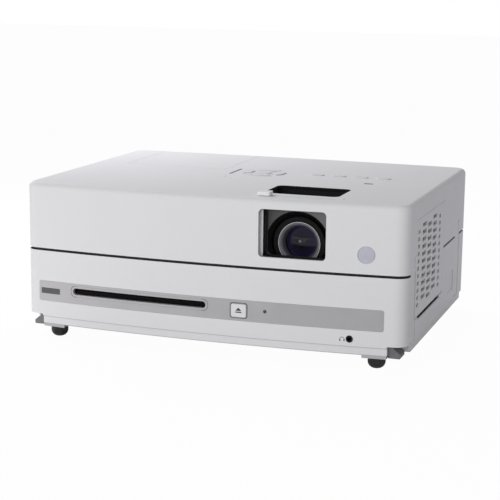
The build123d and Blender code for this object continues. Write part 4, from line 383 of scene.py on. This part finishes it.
def circuit_board():
    """Green lacquered board with a faint grid of tracks."""
    kit = Kit("circuit_board", (0.02, 0.12, 0.06), 0.35)
    tracks = kit.node("ShaderNodeTexBrick")
    tracks.inputs["Scale"].default_value = 160
    tracks.inputs["Mortar Size"].default_value = 0.03
    tracks.inputs["Color1"].default_value = (0.018, 0.1, 0.05, 1)
    tracks.inputs["Color2"].default_value = (0.022, 0.13, 0.065, 1)
    tracks.inputs["Mortar"].default_value = (0.05, 0.2, 0.1, 1)
    kit.link(kit.where, tracks.inputs["Vector"])
    kit.color(tracks.outputs["Color"])
    kit.set("Coat Weight", 0.4)
    return kit.material


def smoked_window():
    kit = Kit("smoked_window", (0.07, 0.07, 0.08), 0.25)
    drift = kit.span(kit.noise(0.003), 0.3, 0.7, 0, 1)
    kit.color(kit.mix(drift, (0.055, 0.055, 0.062), (0.085, 0.085, 0.098)))
    kit.bump(kit.noise(0.001), 0.00002, 0.3)
    kit.set("Coat Weight", 0.2)
    kit.set("Coat Roughness", 0.1)
    return kit.material


def receiver_window():
    """Milky lavender plastic with a soft sheen."""
    kit = Kit("receiver_window", (0.55, 0.55, 0.63), 0.35)
    drift = kit.span(kit.noise(0.008), 0.3, 0.7, 0, 1)
    kit.color(kit.mix(drift, (0.52, 0.525, 0.60), (0.58, 0.58, 0.66)))
    kit.bump(kit.noise(0.002), 0.00002, 0.25)
    kit.set("Subsurface Weight", 0.2)
    kit.set("Subsurface Radius", (0.002, 0.002, 0.003))
    kit.set("Subsurface Scale", 1.0)
    kit.set("Coat Weight", 0.25)
    kit.set("Coat Roughness", 0.2)
    return kit.material


def ramp_by(kit, value, stops):
    """A colour ramp over value from 0 to 1; stops are (place, colour)."""
    ramp = kit.node("ShaderNodeValToRGB")
    elements = ramp.color_ramp.elements
    (elements[0].position, first), (elements[1].position, last) = stops[0], stops[-1]
    elements[0].color, elements[1].color = (*first, 1), (*last, 1)
    for place, color in stops[1:-1]:
        elements.new(place).color = (*color, 1)
    kit.link(value, ramp.inputs[0])
    return ramp.outputs["Color"]


def turned_ring():
    """Metal turned in steps round the lens axis: a bright lip, a dark groove and a paler cone."""
    kit = Kit("bright_ring", (0.42, 0.42, 0.45), 0.4, 0.35)
    radius = kit.reach(LENS_X, LENS_Z)
    steps = (
        (0.0, (0.05, 0.05, 0.065)),
        (0.30, (0.10, 0.10, 0.12)),
        (0.42, (0.17, 0.17, 0.19)),
        (0.55, (0.36, 0.36, 0.38)),
        (0.74, (0.40, 0.40, 0.42)),
        (0.80, (0.06, 0.06, 0.065)),
        (0.86, (0.05, 0.05, 0.055)),
        (0.91, (0.75, 0.74, 0.74)),
        (1.0, (0.55, 0.55, 0.56)),
    )
    kit.color(ramp_by(kit, kit.span(radius, 0.0130, 0.0180, 0, 1), steps))
    kit.rough(kit.span(kit.noise(0.002), 0.3, 0.7, 0.32, 0.46))
    kit.bump(kit.noise(0.0005), 0.00001, 0.3)
    return kit.material


def coated_glass():
    """Near-black glass with a violet coating, a painted reflection of the inner lens near its
    middle, and a fainter painted reflection up to its right.
    """
    kit = Kit("lens_glass", (0.01, 0.01, 0.02), 0.06)
    radius = kit.reach(LENS_X, LENS_Z)
    depth = (
        (0.0, (0.020, 0.020, 0.024)),
        (0.28, (0.008, 0.008, 0.011)),
        (0.55, (0.012, 0.011, 0.022)),
        (0.85, (0.016, 0.013, 0.040)),
        (1.0, (0.05, 0.045, 0.09)),
    )
    tone = ramp_by(kit, kit.span(radius, 0, 0.0135, 0, 1), depth)
    # A painted reflection: a pale spot from the inner lens, a little left of the middle.
    painted_reflection_spot = kit.span(kit.reach(LENS_X - 0.0014, LENS_Z + 0.0006), 0.0004, 0.0016, 1, 0)
    tone = kit.mix(kit.math("MULTIPLY", painted_reflection_spot, 0.9), tone, (0.24, 0.24, 0.25))
    # A fainter painted reflection, up and to the right of the middle.
    faint_painted_reflection = kit.span(kit.reach(LENS_X + 0.0022, LENS_Z + 0.0012), 0.0006, 0.0026, 1, 0)
    kit.color(kit.mix(kit.math("MULTIPLY", faint_painted_reflection, 0.45), tone, (0.06, 0.06, 0.075)))
    kit.set("Specular IOR Level", 0.3)
    kit.set("Coat Weight", 0.15)
    kit.set("Coat Roughness", 0.04)
    kit.set("Coat Tint", (0.75, 0.7, 1.0, 1))
    kit.bump(kit.noise(0.01), 0.00001, 0.05)
    return kit.material


def lens_surround(name):
    """Matt black mouldings round the lens; the plate outside the round hole is greyer, with painted
    shade darkening it towards the left.
    """
    kit = Kit(name, (0.01, 0.01, 0.011), 0.55)
    plate = kit.span(kit.reach(LENS_X, LENS_Z), 0.0272, 0.0276, 0, 1)
    # Painted shade: the plate darkens towards its left.
    across = kit.span(kit.axis("X"), 0.05, 0.1, 0, 1)
    grey = kit.mix(across, (0.085, 0.085, 0.084), (0.19, 0.18, 0.18))
    kit.color(kit.mix(plate, (0.006, 0.0055, 0.0055), grey))
    kit.set("Specular IOR Level", 0.25)
    kit.rough(kit.span(kit.noise(0.003), 0.3, 0.7, 0.48, 0.62))
    kit.bump(kit.noise(0.0008, 2), 0.00004, 0.5)
    return kit.material


def shutter_plastic():
    """The sliding door: white to the front and on its knob, whiter than the case as painted light;
    near-black behind and at its inner edge as painted shade.
    """
    kit = Kit("white_door", DOOR_PAINTED_LIGHT_WHITE, 0.4)
    # Painted shade: the door's rear and inner edge turn near-black.
    behind = kit.inside((0.0476, -0.1219, 0.080), (0.0520, -0.0500, 0.1345), 0.0001)
    kit.color(kit.mix(behind, DOOR_PAINTED_LIGHT_WHITE, NEAR_BLACK))
    kit.rough(kit.span(kit.noise(0.006), 0.3, 0.7, 0.36, 0.46))
    kit.bump(kit.noise(0.0006, 2), 0.00002, 0.35)
    return kit.material


def foam():
    kit = Kit("foam", (0.05, 0.05, 0.052), 0.95)
    cells = kit.node("ShaderNodeTexVoronoi")
    cells.inputs["Scale"].default_value = 900
    kit.link(kit.where, cells.inputs["Vector"])
    walls = kit.span(cells.outputs["Distance"], 0.1, 0.7, 0, 1)
    kit.color(kit.mix(walls, (0.02, 0.02, 0.022), (0.1, 0.1, 0.105)))
    kit.bump(cells.outputs["Distance"], 0.0006, 1.0)
    kit.set("Sheen Weight", 0.2)
    return kit.material


def felt():
    kit = Kit("felt", (0.02, 0.02, 0.022), 0.95)
    fibre = kit.noise(0.0004, 5, (1, 1, 4))
    tufts = kit.span(fibre, 0.35, 0.7, 0, 1)
    kit.color(kit.mix(tufts, (0.004, 0.004, 0.004), (0.018, 0.018, 0.019)))
    kit.bump(fibre, 0.0003, 0.9)
    kit.set("Specular IOR Level", 0.2)
    kit.set("Sheen Weight", 0.08)
    return kit.material


MATERIALS = {
    "white_case": white_plastic("white_case", WHITE, 0.5),
    "key_white": white_plastic("key_white", (0.77, 0.77, 0.785), 0.45),
    "silver_trim": silver_lacquer(),
    "felt": felt(),
    "black_plastic": matte("black_plastic", (0.014, 0.014, 0.016), 0.6, wear=0.01),
    "dark_plastic": matte("dark_plastic", (0.045, 0.045, 0.048), 0.5, wear=0.02),
    "grey_plastic": matte("grey_plastic", (0.11, 0.112, 0.117), 0.5),
    "foot_rubber": rubber(),
    "steel": steel("steel"),
    "circuit_board": circuit_board(),
    "smoked_window": smoked_window(),
    "receiver_window": receiver_window(),
    "bright_ring": turned_ring(),
    "lens_glass": coated_glass(),
    "cast_metal": cast_metal(),
    "foam": foam(),
    "socket_metal": steel("socket_metal"),
}
LOWER_SHADOWS = (SEAM_SHADE_BOX, FINGER_SLIT_SHADE, PLINTH_STEP_SHADE, PLINTH_EDGE_SHADE)
NODE_MATERIALS = {
    "lower_case": white_plastic("white_lower_case", WHITE, 0.5, LOWER_SHADOWS),
    "upper_case": white_plastic("white_upper_case", WHITE, 0.5, (RING_WINDOW,)),
    "shutter": shutter_plastic(),
    "lens_bezel": lens_surround("lens_surround"),
    "lens_barrel": lens_surround("lens_barrel_black"),
    "foot_lever_left": matte("lever_grey_left", LEVER_GREY, 0.5),
    "foot_lever_right": matte("lever_grey_right", LEVER_GREY, 0.5),
}


def dress_nodes():
    """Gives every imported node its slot's material, or its own."""
    slots = {entry["node"]: entry["material_slot"] for entry in frame["record"]["subparts"]}
    for name, piece in frame["nodes"].items():
        piece.data.materials.clear()
        piece.data.materials.append(NODE_MATERIALS.get(name, MATERIALS[slots[name]]))


# ---- Making pieces ----
def new_piece(name, mesh, slot, body=CASE):
    piece = bpy.data.objects.new(name, mesh)
    bpy.context.scene.collection.objects.link(piece)
    mesh.materials.append(MATERIALS[slot])
    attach(piece, body)
    return piece


def finished(name, shape, slot, body=CASE, angle=35.0):
    """Turns a bmesh into a piece with smooth faces between its sharp edges."""
    bmesh.ops.recalc_face_normals(shape, faces=shape.faces)
    for face in shape.faces:
        face.smooth = True
    for edge in shape.edges:
        edge.smooth = len(edge.link_faces) == 2 and edge.calc_face_angle() < math.radians(angle)
    mesh = bpy.data.meshes.new(name)
    shape.to_mesh(mesh)
    shape.free()
    return new_piece(name, mesh, slot, body)


def prism(shape, outline, place, depth):
    """Adds a prism to a bmesh: place maps an outline point and a depth to space."""
    front = [shape.verts.new(place(a, b, depth[0])) for a, b in outline]
    back = [shape.verts.new(place(a, b, depth[1])) for a, b in outline]
    shape.faces.new(front)
    shape.faces.new(list(reversed(back)))
    for k, vert in enumerate(front):
        after = (k + 1) % len(front)
        shape.faces.new((vert, back[k], back[after], front[after]))


def facing_front(x, z, y):
    return Vector((x, y, z)) * MM


def lathe(shape, profile, steps=96, x=LENS_X / MM, z=LENS_Z / MM):
    """Turns a profile of (radius, y) round a line along Y; a radius of 0 closes an end."""
    rings = []
    for radius, y in profile:
        if radius == 0:
            rings.append([shape.verts.new(facing_front(x, z, y))] * steps)
            continue
        turns = [math.tau * k / steps for k in range(steps)]
        places = [(x + radius * math.cos(t), z + radius * math.sin(t)) for t in turns]
        rings.append([shape.verts.new(facing_front(a, b, y)) for a, b in places])
    for inner, outer in zip(rings, rings[1:]):
        for k in range(steps):
            after = (k + 1) % steps
            corners = (inner[k], inner[after], outer[after], outer[k])
            shape.faces.new(list(dict.fromkeys(corners)))


def arc(x, z, radius, start, end, steps=10):
    """Points on an arc, angles in degrees."""
    turns = [math.radians(start + (end - start) * k / steps) for k in range(steps + 1)]
    return [(x + radius * math.cos(t), z + radius * math.sin(t)) for t in turns]


# ---- The lens and what is round it ----
def add_front_lens():
    """A shallow front element, sunk behind its ring."""
    shape = bmesh.new()
    radius, steps = 13.7, 12
    crown, rim, back = -104.4, -102.3, -101.9
    shares = [k / steps for k in range(steps + 1)]
    swell = [(radius * share, rim + (crown - rim) * (1 - share**2)) for share in shares]
    lathe(shape, swell + [(radius, back), (0, back)])
    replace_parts(finished("front_glass", shape, "lens_glass"), "front_lens")


def add_window_shade():
    """The dark frame behind the door's opening, a bar on the left and one below, with its bead."""
    shape = bmesh.new()
    left, right, low, high = 43.8, 104.2, 85.6, 130.4
    bar, sill, corner = 50.4, 88.8, 4.5
    outline = [(left, low), (right, low), (right, sill)]
    outline += arc(bar + corner, sill + corner, corner, 270, 180)
    outline += [(bar, high), (left, high)]
    prism(shape, outline, facing_front, (-115.55, -115.20))
    finished("window_shade", shape, "black_plastic")
    bead = bmesh.new()
    side, foot, top, bend, width = 48.1, 89.4, 121.0, 5.2, 0.35
    middle = (side + bend, foot + bend)
    inner = [(side, top)] + arc(*middle, bend, 180, 262, 12)
    outer = [(side - width, top)] + arc(*middle, bend + width, 180, 262, 12)
    prism(bead, inner + outer[::-1], facing_front, (-115.8, -115.5))
    finished("window_bead", bead, "grey_plastic")


def add_ring_well():
    """The black liner under the ring window: two curved sides and two arched ends."""
    shape = bmesh.new()
    front, rear, brim, skin = -98.2, -49.2, 133.7, 0.8
    sides = (
        [(38.0, brim), (38.3, 126.0), (40.2, 119.0), (43.6, 113.0), (45.3, 107.0), (45.6, 100.0)],
        [(104.9, brim), (105.6, 124.0), (106.5, 113.0), (106.9, 104.0), (106.9, 97.0)],
    )
    for side, push in zip(sides, (-skin, skin)):
        far = [(x + push, z) for x, z in side]
        prism(shape, side + far[::-1], facing_front, (front, rear))
    left, right, barrel_gap = 37.3, 107.6, 28.3
    hole = arc(LENS_X / MM, LENS_Z / MM, barrel_gap, 18, 162, 36)
    outline = [(right, brim), (right, hole[0][1])] + hole + [(left, hole[-1][1]), (left, brim)]
    for y in (front, rear - skin):
        prism(shape, outline, facing_front, (y, y + skin))
    finished("ring_well", shape, "black_plastic")


# ---- The front strip ----
FRONT_RADIUS = 1575.2  # the bowed front in plan, in millimetres
FRONT_Y = -128.5
SLOT = (-61.3, 44.1, 62.0)  # the middle of the disc slot and half its length
EJECT = (29.9, 42.0)


def on_front(x, z, out):
    """A point that stands out from the bowed front, in millimetres."""
    fall = FRONT_RADIUS - math.sqrt(FRONT_RADIUS**2 - x**2)
    return Vector((x, FRONT_Y + fall - out, z)) * MM


def rounded(x, z, half_w, half_h, radius, steps=8):
    """A rounded rectangle's outline round its middle."""
    points = []
    for side, top, start in ((1, 1, 0), (-1, 1, 90), (-1, -1, 180), (1, -1, 270)):
        middle = (x + side * (half_w - radius), z + top * (half_h - radius))
        points += arc(*middle, radius, start, start + 90, steps)
    return points


def frame_ring(shape, outer, inner, place, depth):
    """Adds a closed band between two outlines of as many points."""
    low, high = depth
    sides = ((outer, low), (outer, high), (inner, high), (inner, low))
    loops = [[shape.verts.new(place(a, b, d)) for a, b in line] for line, d in sides]
    for near, far in zip(loops, loops[1:] + loops[:1]):
        for k, vert in enumerate(near):
            after = (k + 1) % len(near)
            shape.faces.new((vert, near[after], far[after], far[k]))


def add_slot_line():
    """The thin shadow line round the slot's rim."""
    x, z, half = SLOT
    shape = bmesh.new()
    outer = rounded(x, z, half + 2.15, 5.05, 4.2)
    inner = rounded(x, z, half + 1.8, 4.7, 3.85)
    frame_ring(shape, outer, inner, on_front, (-0.1, 0.06))
    finished("slot_line", shape, "grey_plastic")


def add_felt_lips():
    """Two felt lips behind the slot, with frayed edges that nearly meet."""
    x, z, half = SLOT
    reach, tall = half + 1.6, 4.8
    gap, uneven, pitch = 0.45, 0.3, 1.9
    shape = bmesh.new()
    steps = 240
    for side in (1, -1):
        edge = []
        for k in range(steps + 1):
            along = -reach + 2 * reach * k / steps
            fray = gap + uneven * noise.noise(Vector((along * pitch, side * 7.0, 0.3)))
            edge.append((x + along, z + side * fray))
        outline = edge + [(x + reach, z + side * tall), (x - reach, z + side * tall)]
        prism(shape, outline, facing_front, (-119.5, -118.5))
    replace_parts(finished("felt_lips", shape, "felt", angle=20), "dust_curtain")


def add_strip_bar():
    """The plain dark bar at the left end of the strip."""
    shape = bmesh.new()
    prism(shape, rounded(-145.7, 42.25, 9.3, 2.55, 0.5, 4), on_front, (-0.2, 0.05))
    finished("strip_bar", shape, "grey_plastic")


def add_eject_details():
    """A triangle over a bar on the eject key, and the shadow line round the key."""
    x, z = EJECT
    face = -128.82

    def on_key(a, b, out):
        return Vector((x + a, face - out, z + b)) * MM

    shape = bmesh.new()
    prism(shape, [(-2.6, -0.2), (2.6, -0.2), (0.3, 2.2), (-0.3, 2.2)], on_key, (-0.05, 0.04))
    prism(shape, [(-2.6, -1.9), (2.6, -1.9), (2.6, -0.95), (-2.6, -0.95)], on_key, (-0.05, 0.04))
    finished("eject_sign", shape, "dark_plastic", "eject_button_body")
    line = bmesh.new()
    outer, inner = rounded(x, z, 7.7, 6.7, 2.2), rounded(x, z, 7.1, 6.1, 1.8)
    frame_ring(line, outer, inner, on_front, (-0.1, 0.05))
    finished("eject_line", line, "grey_plastic")


def add_headphone_sign():
    """The generic headphone sign left of the jack: a band and two pads."""
    x, z = 117.6, 25.0
    shape = bmesh.new()
    prism(shape, arc(x, z, 2.0, 180, 0, 16) + arc(x, z, 1.6, 0, 180, 16), on_front, (-0.1, 0.04))
    for side in (-1, 1):
        prism(shape, rounded(x + side * 1.75, z - 0.7, 0.5, 0.9, 0.35, 4), on_front, (-0.1, 0.05))
    finished("headphone_sign", shape, "grey_plastic")


# ---- Marks and fittings on the other sides ----
TOP_Z = 136.5


def on_top(x, y, up):
    """A point that stands up from the flat top, in millimetres."""
    return Vector((x, y, TOP_Z + up)) * MM


def add_top_dots():
    """Two small round marks on the top."""
    shape = bmesh.new()
    for x, y in ((-22.0, -19.5), (111.0, -103.0)):
        prism(shape, arc(x, y, 0.8, 0, 345, 23), on_top, (-0.1, 0.05))
    finished("top_dots", shape, "grey_plastic")


def screw_heads(name, places, outward, radius, slot):
    """Low domed screw heads with a cross; outward is the way that they face."""
    steps, crest, cross_floor = 24, 0.9, 0.3
    shape = bmesh.new()
    outward = Vector(outward)
    side = outward.orthogonal().normalized()
    up = outward.cross(side)
    for middle in places:
        middle = Vector(middle)

        def place(a, b, out):
            return (middle + side * a + up * b + outward * out) * MM

        loops = []
        for share, out in ((1, 0.0), (1, 0.35), (0.8, 0.75), (0.45, crest)):
            circle = arc(0, 0, radius * share, 0, 360 - 360 / steps, steps - 1)
            loops.append([shape.verts.new(place(a, b, out)) for a, b in circle])
        for low, high in zip(loops, loops[1:]):
            for k, vert in enumerate(low):
                after = (k + 1) % len(low)
                shape.faces.new((vert, low[after], high[after], high[k]))
        shape.faces.new(list(reversed(loops[0])))
        arm, half = radius * 0.55, radius * 0.13
        cross = [(arm, -half), (arm, half), (half, half), (half, arm), (-half, arm), (-half, half)]
        cross += [(-a, -b) for a, b in cross]
        floor = [shape.verts.new(place(a, b, cross_floor)) for a, b in cross]
        rim = [shape.verts.new(place(a, b, crest)) for a, b in cross]
        shape.faces.new(floor)
        for k, vert in enumerate(rim):
            after = (k + 1) % len(rim)
            shape.faces.new((vert, floor[k], floor[after], rim[after]))
        # The flat crest, as one face for each side of the cross out to the ring round it.
        ring = loops[-1]
        starts = []
        for corner in rim:
            gaps = [(vert.co - corner.co).length for vert in ring]
            starts.append(gaps.index(min(gaps)))
        for c, corner in enumerate(rim):
            after = (c + 1) % len(rim)
            run = [starts[c]]
            while run[-1] != starts[after]:
                run.append((run[-1] + 1) % steps)
            shape.faces.new([corner] + [ring[k] for k in run] + [rim[after]])
    finished(name, shape, slot)


def add_screws():
    panel = [(x, 122.5, z) for x in (-90.5, 90.5) for z in (28.5, 61.5)]
    screw_heads("panel_screws", panel, (0, 1, 0), 2.0, "steel")
    screw_heads("lamp_screws", [(x, 90.0, 124.6) for x in (-121.5, -53.5)], (0, 0, 1), 2.6, "steel")


def add_socket_rings():
    """The coloured rings that tell the round sockets apart."""
    first, pitch, face = 31.18, 15, 124.5
    profile = [(2.1, face), (2.2, face + 0.3), (3.6, face + 0.3), (3.9, face + 0.1), (3.9, face)]
    colors = {"white": (0.75, 0.75, 0.74), "red": (0.45, 0.02, 0.02), "yellow": (0.70, 0.50, 0.03)}
    rows = {36.5: ("white", "white", "white", "yellow"), 54.0: ("red", "red", "red", "yellow")}
    for color, base in colors.items():
        material = matte("ring_" + color, base, 0.45, wear=0)
        shape = bmesh.new()
        for z, row in rows.items():
            for k, here in enumerate(row):
                if here == color:
                    lathe(shape, profile, 32, first + pitch * k, z)
        ring = finished("socket_rings_" + color, shape, "socket_metal")
        ring.data.materials[0] = material


def add_lamp_bail():
    """The wire bail folded down on the lamp unit."""
    line = bpy.data.curves.new("lamp_bail", "CURVE")
    line.dimensions = "3D"
    line.bevel_depth = 0.0009
    line.bevel_resolution = 4
    line.resolution_u = 6
    x, y, z = -0.0875, 0.062, 0.1256
    half, reach, bend = 0.022, 0.024, 0.005
    route = [(-half, 0), (-half, reach - bend), (-half, reach), (-half + bend, reach)]
    route += [(-a, b) for a, b in reversed(route)]
    spline = line.splines.new("NURBS")
    spline.points.add(len(route) - 1)
    for point, (a, b) in zip(spline.points, route):
        point.co = (x + a, y + b, z, 1)
    spline.order_u = 3
    spline.use_endpoint_u = True
    new_piece("lamp_bail", line, "steel")


FOAM_MESH = 0.004  # the longest edge, in metres
FOAM_LUMPS = 260
FOAM_DENT = 0.0006


def add_foam_filter():
    """The open-celled pad behind the louvres, with soft edges and an uneven face."""
    low, high = (Vector(corner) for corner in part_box("air_filter"))
    middle, size = (low + high) / 2, high - low
    shape = bmesh.new()
    bmesh.ops.create_cube(shape, size=1.0)
    for vert in shape.verts:
        vert.co = middle + Vector(a * b for a, b in zip(vert.co, size))
    bmesh.ops.bevel(shape, geom=shape.edges[:], offset=0.0012, segments=2, affect="EDGES")
    bmesh.ops.triangulate(shape, faces=shape.faces[:])
    for _ in range(5):
        long_edges = [edge for edge in shape.edges if edge.calc_length() > FOAM_MESH]
        bmesh.ops.subdivide_edges(shape, edges=long_edges, cuts=1, use_grid_fill=False)
        bmesh.ops.triangulate(shape, faces=shape.faces[:])
    for vert in shape.verts:
        dent = 0.5 + 0.5 * noise.noise(vert.co * FOAM_LUMPS)
        vert.co -= (vert.co - middle).normalized() * FOAM_DENT * dent
    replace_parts(finished("foam_filter", shape, "foam", angle=60), "air_filter")


add_camera()
add_world()
add_floor()
# The key light stands low at the front left; the back light brightens the top's left end.
add_area("key_light", (-0.7, -2.3, 0.5), (0, 0, 0.07), (1.6, 1.0), 23)
add_area(
    "back_light", (-0.52, 0.36, 0.50), (-0.15, 0.05, 0.13), (0.4, 0.4), 4.3, (0.97, 0.97, 1.0)
)
dress_nodes()
add_front_lens()
add_window_shade()
add_ring_well()
add_slot_line()
add_felt_lips()
add_strip_bar()
add_eject_details()
add_headphone_sign()
add_top_dots()
add_screws()
add_socket_rings()
add_lamp_bail()
add_foam_filter()

scene = bpy.context.scene
scene.view_settings.view_transform = "Standard"
